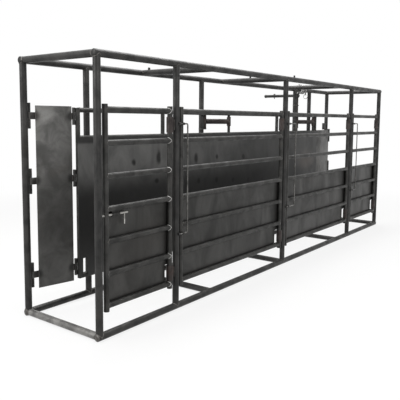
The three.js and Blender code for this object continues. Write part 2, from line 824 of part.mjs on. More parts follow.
// The shaft that both exit arms and the lever are fixed to
function makeLeverShaft() {
  const low = lugHeightsAt(lowerArmZ)[0] - shaftDrop;
  const high = leverZ + leverHubHeight / 2 + shaftRise;
  const bore = pivotPinOd - 2 * wallTubeWall;
  place('lever_shaft', tube('z', exitPivotX, rearY, low, high - low, pivotPinOd, bore), hingeSteel);
}

// A flat filler plate with three knuckles at its hinge edge, along +X from the hinge
function fillerPlate(bottom, top, startX, endX, knuckleX, knuckleZ) {
  const pieces = [block(startX, -fillerThickness / 2, bottom, endX, fillerThickness / 2, top)];
  const bores = [];
  for (const x of knuckleX) {
    const isStart = x < startX;
    const tabLow = isStart ? x : endX - weldSink;
    const tabHigh = isStart ? startX + weldSink : x;
    for (const z of knuckleZ) {
      pieces.push(block(tabLow, -fillerThickness / 2, z, tabHigh, fillerThickness / 2, z + knuckleHeight));
      pieces.push(tube('z', x, 0, z, knuckleHeight, knuckleOd, 0));
      bores.push(tube('z', x, 0, z - overrun, knuckleHeight + 2 * overrun, roomFor(pintleOd, outerSides), 0));
    }
  }
  return cut(weld(pieces), bores);
}

// The entry filler closes the wall's entry end and swings with the arms
function makeEntryFiller() {
  const endX = armLength - fillerWallGap;
  const plate = fillerPlate(fillerBottom, entryFillerTop, fillerPostGap, endX, [0, armLength], entryKnuckleZ);
  const mesh = place('entry_filler', shapeOf(plate), fillerSteel);
  mesh.position.set(entryPivotX, rearY, 0);
  mesh.rotation.z = -armRestAngle;
}

// The exit filler hangs on the last rear post and closes the gap behind the wall's exit end
function makeExitFiller() {
  const plate = fillerPlate(fillerBottom, exitFillerTop, exitFillerGap, exitFillerLength, [0], exitKnuckleZ);
  const mesh = place('exit_filler', shapeOf(plate), fillerSteel);
  mesh.position.set(exitX + exitPintleShift, rearY - exitPintleSetback, 0);
  mesh.rotation.z = Math.PI + exitFillerRestAngle;
}

// The tie chain's route: turns round the rail, straight for a little at the start, and a tail
// that hangs straight from the last turn's front
const railBound = tubeRadius / Math.cos(Math.PI / outerSides);
const chainBound = chainDiameter / 2 / Math.cos(Math.PI / chainSides);
const chainRadius = (railBound + chainBound + chainSlack + fitGap) / Math.cos(Math.PI / chainTurnSteps);

function chainTurnPoints() {
  const points = [];
  const startX = exitCarrierX + chainCarrierOffset;
  for (let i = 0; i <= chainTurns * chainTurnSteps; i += 1) {
    const angle = Math.PI - 2 * Math.PI * i / chainTurnSteps;
    const x = startX + chainPitch * i / chainTurnSteps;
    const y = rearY + chainRadius * Math.cos(angle);
    points.push(new THREE.Vector3(x, y, highZ - chainSlack - chainRadius * Math.sin(angle)));
  }
  return points;
}

function chainPoints() {
  const turns = chainTurnPoints();
  const first = turns[0];
  const last = turns[turns.length - 1];
  const start = new THREE.Vector3(first.x, first.y, first.z - chainDiameter);
  const hangs = new THREE.Vector3(last.x, last.y, last.z - chainTailDrop + chainDiameter);
  const end = new THREE.Vector3(last.x, last.y, last.z - chainTailDrop);
  return [start, ...turns, hangs, end];
}

// The least gap from one turn of a wound tube to another, on the points of its route
function leastTurnGap(points, turnSteps, diameter) {
  let least = Infinity;
  for (let i = 0; i < points.length; i += 1) {
    for (let j = i + turnSteps / 2; j < points.length; j += 1) {
      least = Math.min(least, points[i].distanceTo(points[j]) - diameter);
    }
  }
  return least;
}

// Chain and ring
function makeTieChain() {
  const points = chainPoints();
  const shape = new THREE.Shape(flatSidedOutline(chainDiameter, chainSides));
  const path = new BentRod(points);
  const chain = new THREE.ExtrudeGeometry(shape, { steps: points.length - 1, extrudePath: path });
  place('tie_chain', chain, rodSteel);
  const gap = leastTurnGap(chainTurnPoints(), chainTurnSteps, 2 * chainBound);
  console.log(`tie_chain: least gap to itself ${gap.toFixed(2)} mm`);
  const end = points[points.length - 1];
  const ringRadius = (ringOd - ringWireDiameter) / 2;
  const ring = new THREE.TorusGeometry(ringRadius, ringWireDiameter / 2, rodSides, sleeveSides);
  ring.rotateX(Math.PI / 2);
  ring.rotateY(Math.PI / 2);
  const ringZ = end.z - ringWireDiameter / 2 - ringRadius - fitGap;
  place('tie_ring', ring.translate(end.x, end.y, ringZ), rodSteel);
}

makeRails();
makeCrossTubes();
makeFrontPosts();
makeRearPosts();
for (let i = 0; i < frontPostX.length - 1; i += 1) makeGate(i + 1, frontPostX[i], frontPostX[i + 1]);
place('wall_frame', shapeOf(wallFrame()), gateSteel);
place('wall_sheet', wallSheet(), sheetSteel);
makeSwingArms();
makeLeverShaft();
makeLever();
makeEntryFiller();
makeExitFiller();
makeTieChain();

export default alley;
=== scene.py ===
import math
import bmesh
import bpy
from mathutils import Matrix, Vector


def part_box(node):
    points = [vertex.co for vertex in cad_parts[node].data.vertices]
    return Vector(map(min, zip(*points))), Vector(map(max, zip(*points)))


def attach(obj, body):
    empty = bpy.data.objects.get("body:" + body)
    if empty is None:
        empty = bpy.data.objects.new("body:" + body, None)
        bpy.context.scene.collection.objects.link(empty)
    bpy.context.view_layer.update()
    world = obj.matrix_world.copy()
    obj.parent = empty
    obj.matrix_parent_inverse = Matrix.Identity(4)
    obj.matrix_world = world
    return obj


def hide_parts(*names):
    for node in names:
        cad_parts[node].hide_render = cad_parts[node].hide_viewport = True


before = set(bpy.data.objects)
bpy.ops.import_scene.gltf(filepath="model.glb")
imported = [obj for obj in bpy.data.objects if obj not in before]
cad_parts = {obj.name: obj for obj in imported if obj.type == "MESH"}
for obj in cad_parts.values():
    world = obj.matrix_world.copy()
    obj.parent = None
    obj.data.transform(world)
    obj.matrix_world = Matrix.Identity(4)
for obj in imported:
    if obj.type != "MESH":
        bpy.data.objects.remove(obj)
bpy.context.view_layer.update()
scene = bpy.context.scene
scene.view_settings.view_transform = "Standard"

# Camera
# It stands at eye height beyond the entry corner, on the gates' side, and looks along the alley.
# Its place, turn and lens were worked out from where the frame's corners lie in the picture.
photo_width = 400
focal_pixels = 538.7
centre_pixel_x = 200.2
centre_pixel_y = 175.0
sensor_width = 36
eye = Vector((-5.4197, -3.3603, 1.6402))
yaw = math.radians(37.227)
pitch = math.radians(5.8)
roll = math.radians(0.476)

ahead = Vector((math.cos(yaw) * math.cos(pitch), math.sin(yaw) * math.cos(pitch), -math.sin(pitch)))
level_right = Vector((math.sin(yaw), -math.cos(yaw), 0))
level_up = level_right.cross(ahead)
right = math.cos(roll) * level_right + math.sin(roll) * level_up
up = math.cos(roll) * level_up - math.sin(roll) * level_right

camera_data = bpy.data.cameras.new("photo_camera")
camera_data.sensor_width = sensor_width
camera_data.lens = focal_pixels / photo_width * sensor_width
camera_data.shift_x = (photo_width / 2 - centre_pixel_x) / photo_width
camera_data.shift_y = (centre_pixel_y - photo_width / 2) / photo_width
camera_data.clip_end = 200
camera = bpy.data.objects.new("photo_camera", camera_data)
turn = Matrix((right, up, -ahead)).transposed().to_4x4()
camera.matrix_world = Matrix.Translation(eye) @ turn
scene.collection.objects.link(camera)
scene.camera = camera

# Floor, white surround and studio light
# A pale floor that keeps the alley's shadow, a surround that is white to the camera and in what the
# steel reflects, and three large soft lamps: a wide one overhead, one at the entry, one at the gates.
floor_span = 120
floor_colour = (0.60, 0.60, 0.595, 1)
floor_white_share = 0.80
floor_fade_start = 3.5
floor_fade_end = 8.0
surround_level = 0.42


def paint_step(tree, kind, inputs=(), **settings):
    node = tree.nodes.new(f"ShaderNode{kind}")
    for name, value in settings.items():
        setattr(node, name, value)
    for key, value in dict(inputs).items():
        if isinstance(value, bpy.types.NodeSocket):
            tree.links.new(value, node.inputs[key])
        else:
            node.inputs[key].default_value = value
    return node


def seen_ray(tree):
    path = paint_step(tree, "LightPath")
    total = path.outputs["Is Camera Ray"]
    for ray in ("Is Glossy Ray", "Is Transmission Ray"):
        total = paint_step(tree, "Math", {0: total, 1: path.outputs[ray]}, operation="MAXIMUM").outputs[0]
    return total


floor_bm = bmesh.new()
bmesh.ops.create_grid(floor_bm, x_segments=8, y_segments=8, size=floor_span / 2)
floor_mesh = bpy.data.meshes.new("studio_floor")
floor_bm.to_mesh(floor_mesh)
floor_bm.free()
floor = bpy.data.objects.new("studio_floor", floor_mesh)
scene.collection.objects.link(floor)

floor_paint = bpy.data.materials.new("pale_floor")
floor_paint.use_nodes = True
tree = floor_paint.node_tree
tree.nodes.clear()
matte = paint_step(tree, "BsdfDiffuse", {"Color": floor_colour})
glow = paint_step(tree, "Emission")
spot = paint_step(tree, "TexCoord").outputs["Object"]
reach = paint_step(tree, "VectorMath", {0: spot}, operation="LENGTH").outputs["Value"]
fade_inputs = {"Value": reach, "From Min": floor_fade_start, "From Max": floor_fade_end,
               "To Min": floor_white_share}
fade = paint_step(tree, "MapRange", fade_inputs, interpolation_type="SMOOTHSTEP").outputs["Result"]
share = paint_step(tree, "Math", {0: seen_ray(tree), 1: fade}, operation="MULTIPLY").outputs[0]
blend = paint_step(tree, "MixShader", {0: share, 1: matte.outputs[0], 2: glow.outputs[0]})
paint_step(tree, "OutputMaterial", {0: blend.outputs[0]})
floor_mesh.materials.append(floor_paint)

world = bpy.data.worlds.new("white_surround")
world.use_nodes = True
scene.world = world
tree = world.node_tree
tree.nodes.clear()
level = paint_step(tree, "Mix", {0: seen_ray(tree), 2: surround_level, 3: 1}).outputs[0]
air = paint_step(tree, "Background", {"Color": (1, 1, 1, 1), "Strength": level})
paint_step(tree, "OutputWorld", {0: air.outputs[0]})


def facing(place, way, along="Z"):
    return Matrix.Translation(place) @ way.to_track_quat(along, "Y").to_matrix().to_4x4()


def soft_lamp(name, place, aim_height, width, depth, power):
    lamp = bpy.data.lights.new(name, "AREA")
    lamp.shape = "RECTANGLE"
    lamp.size = width
    lamp.size_y = depth
    lamp.energy = power
    holder = bpy.data.objects.new(name, lamp)
    holder.matrix_world = facing(place, Vector((0, 0, aim_height)) - place, "-Z")
    scene.collection.objects.link(holder)


soft_lamp("overhead_lamp", Vector((0, 0.5, 6.5)), aim_height=0, width=10, depth=5, power=820)
soft_lamp("entry_lamp", Vector((-8, 1.5, 4)), aim_height=1, width=4, depth=4, power=300)
soft_lamp("gate_side_lamp", Vector((-3, -8, 4.5)), aim_height=1, width=6, depth=4, power=250)

# Long rails, sills and ties
# The box's long and cross members: 2 1/4 in round steel tube with its dark mill scale left on.
# Long rails run a little past the corner posts and are capped with weld; the rest butt on them.
frame_tube = 0.0572
tube_sides = 40
bead_steps = 28
bead_sides = 8
bead_size = 0.009
bead_ripples = 14
bead_ripple = 0.0006
sharp_angle = math.radians(38)
dome_share = 0.34
dome_width_share = 0.995
mill_scale_dark = (0.017, 0.017, 0.0166, 1)
mill_scale_light = (0.041, 0.040, 0.0385, 1)
# A paler copy of the mill scale for the first sill: a painted highlight of the light falling on its top.
sill_highlight_dark = (0.085, 0.083, 0.080, 1)
sill_highlight_light = (0.230, 0.225, 0.215, 1)
specular_level = 0.35
cloud_edges = (0.30, 0.72)
brown_edges = (0.52, 0.78)
grain_edges = (0.55, 0.75)
gloss_edges = (0.25, 0.75)
grain_share = 0.5
patch_scale_share = 0.45
relief_strength = 0.25
relief_depth = 0.0006
merge_distance = 1e-6
scale_brown = (0.040, 0.033, 0.028, 1)
bead_grey_dark = (0.055, 0.050, 0.046, 1)
bead_grey_light = (0.135, 0.131, 0.124, 1)


def noise(tree, where, scale, detail=4.0, roughness=0.55, distortion=0.0):
    inputs = {"Vector": where, "Scale": scale, "Detail": detail, "Roughness": roughness,
              "Distortion": distortion}
    return paint_step(tree, "TexNoise", inputs).outputs["Fac"]


def ramped(tree, value, low, high, to_low=0.0, to_high=1.0):
    inputs = {"Value": value, "From Min": low, "From Max": high, "To Min": to_low, "To Max": to_high}
    return paint_step(tree, "MapRange", inputs, interpolation_type="SMOOTHSTEP").outputs["Result"]


def tinted(tree, under, over, amount):
    return paint_step(tree, "Mix", {0: amount, 6: under, 7: over}, data_type="RGBA").outputs[2]


def steel_finish(name, dark, light, brown=scale_brown, brown_share=0.25, cloud_scale=7.0, grain_scale=120.0,
                 stretch=(1, 1, 1), rough=(0.36, 0.58), metallic=0.55, marks=None):
    paint = bpy.data.materials.new(name)
    paint.use_nodes = True
    tree = paint.node_tree
    shader = tree.nodes["Principled BSDF"]
    shader.inputs["Metallic"].default_value = metallic
    shader.inputs["Specular IOR Level"].default_value = specular_level
    spot = paint_step(tree, "TexCoord").outputs["Object"]
    drawn = paint_step(tree, "Mapping", {"Vector": spot, "Scale": stretch}).outputs["Vector"]
    clouds = noise(tree, drawn, cloud_scale, 6, 0.6, 0.6)
    grain = noise(tree, spot, grain_scale, 5, 0.65)
    patches = noise(tree, spot, cloud_scale * patch_scale_share, 3, 0.5, 1.2)
    colour = tinted(tree, dark, light, ramped(tree, clouds, *cloud_edges))
    colour = tinted(tree, colour, brown, ramped(tree, patches, *brown_edges, 0, brown_share))
    colour = tinted(tree, colour, dark, ramped(tree, grain, *grain_edges, 0, grain_share))
    if marks:
        colour = marks(tree, spot, colour)
    bump = {"Strength": relief_strength, "Distance": relief_depth, "Height": grain}
    relief = paint_step(tree, "Bump", bump)
    tree.links.new(colour, shader.inputs["Base Color"])
    dullness = ramped(tree, clouds, *gloss_edges, rough[1], rough[0])
    tree.links.new(dullness, shader.inputs["Roughness"])
    tree.links.new(relief.outputs["Normal"], shader.inputs["Normal"])
    return paint


frame_steel = steel_finish("mill_scale_frame", mill_scale_dark, mill_scale_light)
# Painted highlight: the entry sill's finish is lighter to stand in for the light on its top.
sill_highlight_steel = steel_finish("entry_sill_painted_highlight", sill_highlight_dark, sill_highlight_light, cloud_scale=11, rough=(0.30, 0.5))
weld_steel = steel_finish("weld_metal", bead_grey_dark, bead_grey_light, brown_share=0.6, cloud_scale=30,
                          grain_scale=300, rough=(0.30, 0.5), metallic=0.75)


def round_bar(bm, start, end, od, sides=tube_sides):
    run = end - start
    bmesh.ops.create_cone(bm, cap_ends=True, segments=sides, radius1=od / 2, radius2=od / 2,
                          depth=run.length, matrix=facing((start + end) / 2, run))


def upright_bar(bm, x, y, low_end, high_end, od, sides=tube_sides):
    round_bar(bm, Vector((x, y, low_end)), Vector((x, y, high_end)), od, sides)


def add_form(bm, form, place):
    placed = form.copy()
    placed.transform(place)
    bm.from_mesh(placed)
    bpy.data.meshes.remove(placed)


def as_form(bm):
    bmesh.ops.recalc_face_normals(bm, faces=bm.faces)
    form = bpy.data.meshes.new("form")
    bm.to_mesh(form)
    bm.free()
    return form


def wire_ring(bm, middle_radius, wire, sides, steps, start=0):
    spot = Matrix.Translation((middle_radius, 0, 0)) @ Matrix.Rotation(math.pi / 2, 4, "X")
    turned = Matrix.Rotation(start, 4, "Z") @ spot
    bmesh.ops.create_circle(bm, segments=sides, radius=wire / 2, matrix=turned)
    bmesh.ops.spin(bm, geom=bm.verts[:] + bm.edges[:], cent=(0, 0, 0), axis=(0, 0, 1), angle=math.tau,
                   steps=steps, use_merge=True)
    bmesh.ops.remove_doubles(bm, verts=bm.verts, dist=merge_distance)


def bead_form(branch_od, main_od, size=bead_size):
    ring = bmesh.new()
    wire_ring(ring, branch_od / 2, size, bead_sides, bead_steps)
    main = main_od / 2
    for vert in ring.verts:
        around = math.atan2(vert.co.y, vert.co.x)
        across = branch_od / 2 * math.sin(around)
        saddle = math.sqrt(max(main * main - across * across, 0)) if main else 0
        vert.co.z += saddle + bead_ripple * math.sin(bead_ripples * around)
        vert.co.xy *= 1 + bead_ripple * math.cos(bead_ripples * around) / branch_od
        if main:
            vert.co.y = min(max(vert.co.y, -main), main)
    for face in ring.faces:
        face.material_index = 1
    return as_form(ring)


def bead_place(centre, branch, main):
    side = branch.cross(main)
    return Matrix.Translation(centre) @ Matrix((main, side, branch)).transposed().to_4x4()


def beaded_bar(bm, start, end, od, main, bead, end_bead=None):
    way = (end - start).normalized()
    round_bar(bm, start, end, od)
    add_form(bm, bead, bead_place(start, way, main))
    add_form(bm, bead if end_bead is None else end_bead, bead_place(end, -way, main))


def made_piece(bm, name, finishes, body, slot, *nodes):
    bmesh.ops.recalc_face_normals(bm, faces=bm.faces)
    mesh = bpy.data.meshes.new(name)
    bm.to_mesh(mesh)
    bm.free()
    mesh.shade_smooth()
    mesh.set_sharp_from_angle(angle=sharp_angle)
    for finish in finishes:
        mesh.materials.append(finish)
    piece = bpy.data.objects.new(name, mesh)
    scene.collection.objects.link(piece)
    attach(piece, body)
    if nodes:
        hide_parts(*nodes)
    return piece


def frame_piece(bm, name, *nodes):
    made_piece(bm, name, (frame_steel, weld_steel), "root", "frame_steel", *nodes)


def middle_of(node):
    low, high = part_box(node)
    return (low + high) / 2


along_x = Vector((1, 0, 0))
along_y = Vector((0, 1, 0))
along_z = Vector((0, 0, 1))
cross_x = [middle_of(f"sill_{number}").x for number in range(1, 6)]
entry_x = cross_x[0]
exit_x = cross_x[4]
low_z = middle_of("sill_1").z
high_z = middle_of("top_tie_1").z
front_y = middle_of("front_post_5").y
rear_y = middle_of("rear_post_2").y
frame_bead = bead_form(frame_tube, frame_tube)


def weld_blob(bm, place, radius, around=tube_sides, tall=12, finish=1):
    made = bmesh.ops.create_uvsphere(bm, u_segments=around, v_segments=tall, radius=radius,
                                     matrix=place)
    for face in {face for vert in made["verts"] for face in vert.link_faces}:
        face.material_index = finish


def domed_end(bm, centre, outwards, finish):
    shape = Matrix.Diagonal((dome_width_share, dome_width_share, dome_share, 1))
    weld_blob(bm, facing(centre, outwards) @ shape, frame_tube / 2, finish=finish)


for side, rail_y in (("front", front_y), ("rear", rear_y)):
    for level_name, rail_z in (("bottom", low_z), ("top", high_z)):
        low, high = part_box(f"{side}_{level_name}_rail")
        dome = frame_tube / 2 * dome_share
        start = Vector((low.x + dome, rail_y, rail_z))
        end = Vector((high.x - dome, rail_y, rail_z))
        bm = bmesh.new()
        round_bar(bm, start, end, frame_tube)
        cap_finish = 1 if level_name == "bottom" else 0
        domed_end(bm, start, -along_x, cap_finish)
        domed_end(bm, end, along_x, cap_finish)
        frame_piece(bm, f"{side}_{level_name}_long_rail", f"{side}_{level_name}_rail")

for number, x in enumerate(cross_x, 1):
    for kind, z in (("sill", low_z), ("top_tie", high_z)):
        bm = bmesh.new()
        start, end = Vector((x, front_y, z)), Vector((x, rear_y, z))
        beaded_bar(bm, start, end, frame_tube, along_x, frame_bead)
        # The entry sill takes the paler finish, which is a painted highlight.
        finish = sill_highlight_steel if kind == "sill" and number == 1 else frame_steel
        made_piece(bm, f"{kind}_tube_{number}", (finish, weld_steel), "root", "frame_steel",
                   f"{kind}_{number}")

# Top lugs
# Three small flat-bar lugs stand on the top tubes, to tie covers or ropes to.
# Each is cut from flat bar with its corners ground off and fillet welded at its foot.
lug_length = 0.030
lug_width = 0.010
lug_height = 0.022
lug_bevel = 0.004
lug_foot = 0.006
lug_places = (("front_top_lug", 2.985, 0.0), ("entry_tie_lug", 1.395, 0.9),
              ("middle_tie_lug", 2.790, 0.54))


def bevel_sharp(bm, offset, segments=2, least=math.radians(50)):
    edges = [edge for edge in bm.edges if edge.is_manifold and edge.calc_face_angle(0) > least]
    bmesh.ops.bevel(bm, geom=edges, offset=offset, segments=segments, affect="EDGES", profile=0.5,
                    material=-1)


def plate(bm, low, high):
    place = Matrix.Translation((low + high) / 2) @ Matrix.Diagonal((*(high - low), 1))
    bmesh.ops.create_cube(bm, size=1, matrix=place)


for name, offset, share_across in lug_places:
    bm = bmesh.new()
    x = entry_x + offset
    y = front_y + (rear_y - front_y) * share_across
    top = high_z + frame_tube / 2
    plate(bm, Vector((x - lug_length / 2, y - lug_width / 2, top - lug_foot)),
          Vector((x + lug_length / 2, y + lug_width / 2, top + lug_height)))
    bevel_sharp(bm, lug_bevel, 3)
    made_piece(bm, name, (frame_steel,), "root", "frame_steel")

# Posts
# Eleven uprights of the same tube, coped and welded between the bottom and top members.
# The first front post is drilled for the slide bolt; the next three carry two keepers for a latch rod.
rod_od = 0.0127
rod_plane = 0.039
keeper_od = 0.022
keeper_length = 0.020
keeper_room = 0.0148
keeper_seat_od = 0.007
keeper_seat_share = 0.4
bolt_hole_depth = 0.004
bolt_od = 0.019
bolt_hole = 0.0206
post_radius = frame_tube / 2
rod_lower_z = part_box("latch_rod_2")[0].z + rod_od / 2
rod_upper_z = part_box("latch_rod_2")[1].z - rod_od / 2
bolt_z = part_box("slide_bolt_1")[1].z - bolt_od / 2


def post_beads(bm, x, y):
    add_form(bm, frame_bead, bead_place(Vector((x, y, low_z)), along_z, along_x))
    add_form(bm, frame_bead, bead_place(Vector((x, y, high_z)), -along_z, along_x))


def post(bm, x, y):
    upright_bar(bm, x, y, low_z, high_z, frame_tube)
    post_beads(bm, x, y)


def ring_form(bore, od, length, sides=tube_sides, lip=0.0008):
    wall = bmesh.new()
    inner, outer, half = bore / 2, od / 2, length / 2
    corners = [(inner, -half + lip), (inner + lip, -half), (outer - lip, -half), (outer, -half + lip),
               (outer, half - lip), (outer - lip, half), (inner + lip, half), (inner, half - lip)]
    verts = [wall.verts.new((radius, 0, height)) for radius, height in corners]
    edges = [wall.edges.new((verts[i - 1], verts[i])) for i in range(len(verts))]
    bmesh.ops.spin(wall, geom=verts + edges, cent=(0, 0, 0), axis=(0, 0, 1), angle=math.tau,
                   steps=sides, use_merge=True)
    bmesh.ops.remove_doubles(wall, verts=wall.verts, dist=merge_distance)
    return as_form(wall)


def less(bm, tool):
    pieces = []
    for form in (bm, tool):
        mesh = bpy.data.meshes.new("worked")
        form.to_mesh(mesh)
        form.free()
        for finish in (frame_steel, weld_steel):
            mesh.materials.append(finish)
        pieces.append(bpy.data.objects.new("worked", mesh))
        scene.collection.objects.link(pieces[-1])
    body, taken = pieces
    away = body.modifiers.new("away", "BOOLEAN")
    away.operation = "DIFFERENCE"
    away.solver = "EXACT"
    away.object = taken
    left = bpy.data.meshes.new_from_object(body.evaluated_get(bpy.context.evaluated_depsgraph_get()))
    for piece in pieces:
        bpy.data.objects.remove(piece)
    return left


def drilled(bm, start, end, od):
    drill = bmesh.new()
    round_bar(drill, start, end, od)
    return less(bm, drill)


def bolt_tube(bm, x, low_end, high_end, od, hole_start):
    tube = bmesh.new()
    upright_bar(tube, x, front_y, low_end, high_end, od)
    hole = Vector((x, front_y, bolt_z))
    bm.from_mesh(drilled(tube, hole - along_x * hole_start, hole + along_x * od, bolt_hole))


keeper_ring = ring_form(keeper_room, keeper_od, keeper_length, 24)
front_x = [entry_x] + [middle_of(f"front_post_{number}").x for number in (2, 3, 4)] + [exit_x]
rear_x = [entry_x] + [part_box(f"rear_post_{number}")[0].x + post_radius for number in (2, 3, 4, 5)] + [exit_x]
turn_to_x = Matrix.Rotation(math.pi / 2, 4, "Y")

for number, x in enumerate(front_x, 1):
    bm = bmesh.new()
    if number == 1:
        bolt_tube(bm, x, low_z, high_z, frame_tube, bolt_hole_depth)
        post_beads(bm, x, front_y)
    else:
        post(bm, x, front_y)
    if number in (2, 3, 4):
        for z in (rod_upper_z, rod_lower_z):
            centre = Vector((x, front_y - rod_plane, z))
            add_form(bm, keeper_ring, Matrix.Translation(centre) @ turn_to_x)
            seat = centre + Vector((0, keeper_od / 2 - 0.001, 0))
            reach = along_x * keeper_length * keeper_seat_share
            round_bar(bm, seat - reach, seat + reach, keeper_seat_od, 12)
    frame_piece(bm, f"front_upright_{number}", f"front_post_{number}")

for number in (2, 5):
    bm = bmesh.new()
    post(bm, rear_x[number - 1], rear_y)
    frame_piece(bm, f"rear_upright_{number}", f"rear_post_{number}")

# Side gates
# Four welded gates of 1 3/4 in tube: two stiles, seven rails and a sheet behind the four lower rails,
# notched round the lower hinge. Their hinge stiles turn in two sleeves welded to the next post.
gate_tube = 0.0445
gate_radius = gate_tube / 2
stile_drop = 0.020
stile_rise = 0.017
gate_rails = 7
sheeted_rails = 4
entry_sheet_notch = 0.036
sheet_notch = 0.064
sheet_notch_room = 0.008
sheet_wave = 0.0012
gate_sheet_grid = (30, 18)
stitch_inset = 0.06
stitch_depth_share = 0.93
cut_margin = 0.02
stile_cap = 0.003
seat_share = 0.42
stitch_length = 0.035
stitch_gap = 0.26
stitch_size = 0.006
gate_dark = (0.019, 0.019, 0.018, 1)
gate_light = (0.047, 0.046, 0.0435, 1)
sheet_dark = (0.021, 0.0207, 0.0195, 1)
sheet_light = (0.051, 0.050, 0.0475, 1)
sheet_brown = (0.043, 0.037, 0.032, 1)
gate_steel = steel_finish("mill_scale_gate", gate_dark, gate_light, cloud_scale=9)
sheet_steel = steel_finish("hot_rolled_gate_sheet", sheet_dark, sheet_light, brown=sheet_brown,
                           cloud_scale=2.2, stretch=(1.8, 1, 0.8), grain_scale=70, rough=(0.34, 0.52))
gate_bead = bead_form(gate_tube, gate_tube, 0.007)
bright_bead = gate_bead.copy()
for face in bright_bead.polygons:
    face.material_index = 2
bright_weld_dark = (0.30, 0.295, 0.285, 1)
bright_weld_light = (0.60, 0.59, 0.575, 1)
bright_weld = steel_finish("brushed_weld", bright_weld_dark, bright_weld_light, brown_share=0.2,
                           cloud_scale=26, grain_scale=300, rough=(0.28, 0.45))


def stitch_welds(bm, start, end):
    run = end - start
    count = max(2, round(run.length / stitch_gap))
    for index in range(count):
        middle = start + run * ((index + 0.5) / count)
        shape = Matrix.Diagonal((stitch_length, stitch_size, stitch_size, 1))
        weld_blob(bm, Matrix.Translation(middle) @ shape, 0.5, 12, 8)


def rippled_sheet(bm, low, high, columns, rows, depth=0, seed=0):
    size = high - low
    plate(bm, low, high)
    long_edges = [e for e in bm.edges if abs((e.verts[0].co - e.verts[1].co).x) > size.x * 0.9]
    bmesh.ops.subdivide_edges(bm, edges=long_edges, cuts=columns, use_grid_fill=True)
    tall_edges = [e for e in bm.edges if abs((e.verts[0].co - e.verts[1].co).z) > size.z * 0.9]
    bmesh.ops.subdivide_edges(bm, edges=tall_edges, cuts=rows, use_grid_fill=True)
    phase = seed * 1.7
    for vert in bm.verts:
        across = (vert.co.x - low.x) / size.x
        height = (vert.co.z - low.z) / size.z
        hold = math.sin(math.pi * across) * math.sin(math.pi * height)
        broad = math.sin(across * 9 + phase) * math.cos(height * 7 + phase * 2)
        wave = broad + 0.5 * math.sin(across * 21 + phase)
        vert.co.y += depth * hold * (0.6 + 0.4 * wave)


def opened(bm, low, high):
    cutter = bmesh.new()
    plate(cutter, low - along_y * cut_margin, high + along_y * cut_margin)
    opened_bm = bmesh.new()
    opened_bm.from_mesh(less(bm, cutter))
    return opened_bm


def gate_stile(bm, x, low, high):
    upright_bar(bm, x, front_y, low, high - stile_cap, gate_tube)
    cap = Matrix.Translation((x, front_y, high - stile_cap)) @ Matrix.Diagonal((1.02, 1.02, 0.14, 1))
    weld_blob(bm, cap, gate_radius)


bush_shift = 0.010
bush_seat_half = 0.006
bush_seat_overlap = 0.0015
guide_offset = 0.098
guide_length = 0.076
guide_od = 0.030
guide_plate = 0.008
guide_ring = ring_form(bolt_hole, guide_od, guide_length)
for number in range(1, 5):
    low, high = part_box(f"gate_{number}_frame")
    latch_x = low.x + gate_radius
    hinge_x = high.x - gate_radius
    first_rail = low.z + stile_drop + gate_radius
    top_rail = high.z - stile_rise - gate_radius
    rail_heights = [first_rail + (top_rail - first_rail) * i / (gate_rails - 1) for i in range(gate_rails)]
    bm = bmesh.new()
    if number == 1:
        bolt_tube(bm, latch_x, low.z, high.z, gate_tube, gate_tube)
    else:
        gate_stile(bm, latch_x, low.z, high.z)
    gate_stile(bm, hinge_x, low.z, high.z)
    for z in rail_heights:
        start, end = Vector((latch_x, front_y, z)), Vector((hinge_x, front_y, z))
        beaded_bar(bm, start, end, gate_tube, along_z, gate_bead, bright_bead if number == 1 else None)
    for z in rail_heights[:sheeted_rails]:
        for edge in (-1, 1):
            stitch_y = front_y + gate_radius * stitch_depth_share
            stitch_z = z + edge * gate_radius * seat_share
            stitch_welds(bm, Vector((latch_x + stitch_inset, stitch_y, stitch_z)),
                         Vector((hinge_x - sheet_notch, stitch_y, stitch_z)))
    if number == 1:
        guide_x = latch_x + guide_offset
        add_form(bm, guide_ring, Matrix.Translation((guide_x, front_y, bolt_z)) @ turn_to_x)
        guide_half = Vector((guide_length / 2, guide_plate / 2, 0))
        guide_top = rail_heights[3] - gate_radius * 0.7
        plate(bm, Vector((guide_x, front_y, bolt_z + guide_od * seat_share)) - guide_half,
              Vector((guide_x, front_y, guide_top)) + guide_half)
    else:
        for z in (rod_upper_z, rod_lower_z):
            centre = Vector((latch_x - bush_shift, front_y - rod_plane, z))
            add_form(bm, keeper_ring, Matrix.Translation(centre) @ turn_to_x)
            seat_y = keeper_od / 2 - bush_seat_overlap
            plate(bm, centre + Vector((-bush_seat_half, seat_y, -bush_seat_half)),
                  centre + Vector((bush_seat_half, rod_plane - gate_radius * 0.75, bush_seat_half)))
    made_piece(bm, f"gate_{number}_tubework", (gate_steel, weld_steel, bright_weld), f"gate_{number}",
               "gate_steel", f"gate_{number}_frame")
    low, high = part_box(f"gate_{number}_sheet")
    bm = bmesh.new()
    rippled_sheet(bm, low, high, *gate_sheet_grid, sheet_wave, number)
    sleeve_low, sleeve_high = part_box(f"gate_{number}_lower_hinge")
    notch = entry_sheet_notch if number == 1 else sheet_notch
    bm = opened(bm, Vector((hinge_x - notch, low.y, sleeve_low.z - sheet_notch_room)),
                Vector((hinge_x + gate_radius, high.y, sleeve_high.z + sheet_notch_room)))
    made_piece(bm, f"gate_{number}_sheeting", (sheet_steel,), f"gate_{number}", "sheet_steel",
               f"gate_{number}_sheet")

# Gate hinge sleeves
# Short thick sleeves round each hinge stile, held off the post by a tapered web and fillet welded.
# They are browner than the tubes round them from the heat of welding.
sleeve_room = 0.0466
sleeve_od = 0.0591
web_depth = 0.008
web_chamfer = 0.022
web_bevel = 0.0012
plate_brown = (0.060, 0.034, 0.026, 1)
weld_step = 0.006
weld_swell = 0.14
hinge_dark = (0.022, 0.018, 0.017, 1)
hinge_light = (0.055, 0.045, 0.042, 1)
hinge_steel = steel_finish("heat_browned_hinge", hinge_dark, hinge_light, brown=plate_brown,
                           brown_share=0.7, cloud_scale=14, rough=(0.40, 0.62), metallic=0.5)


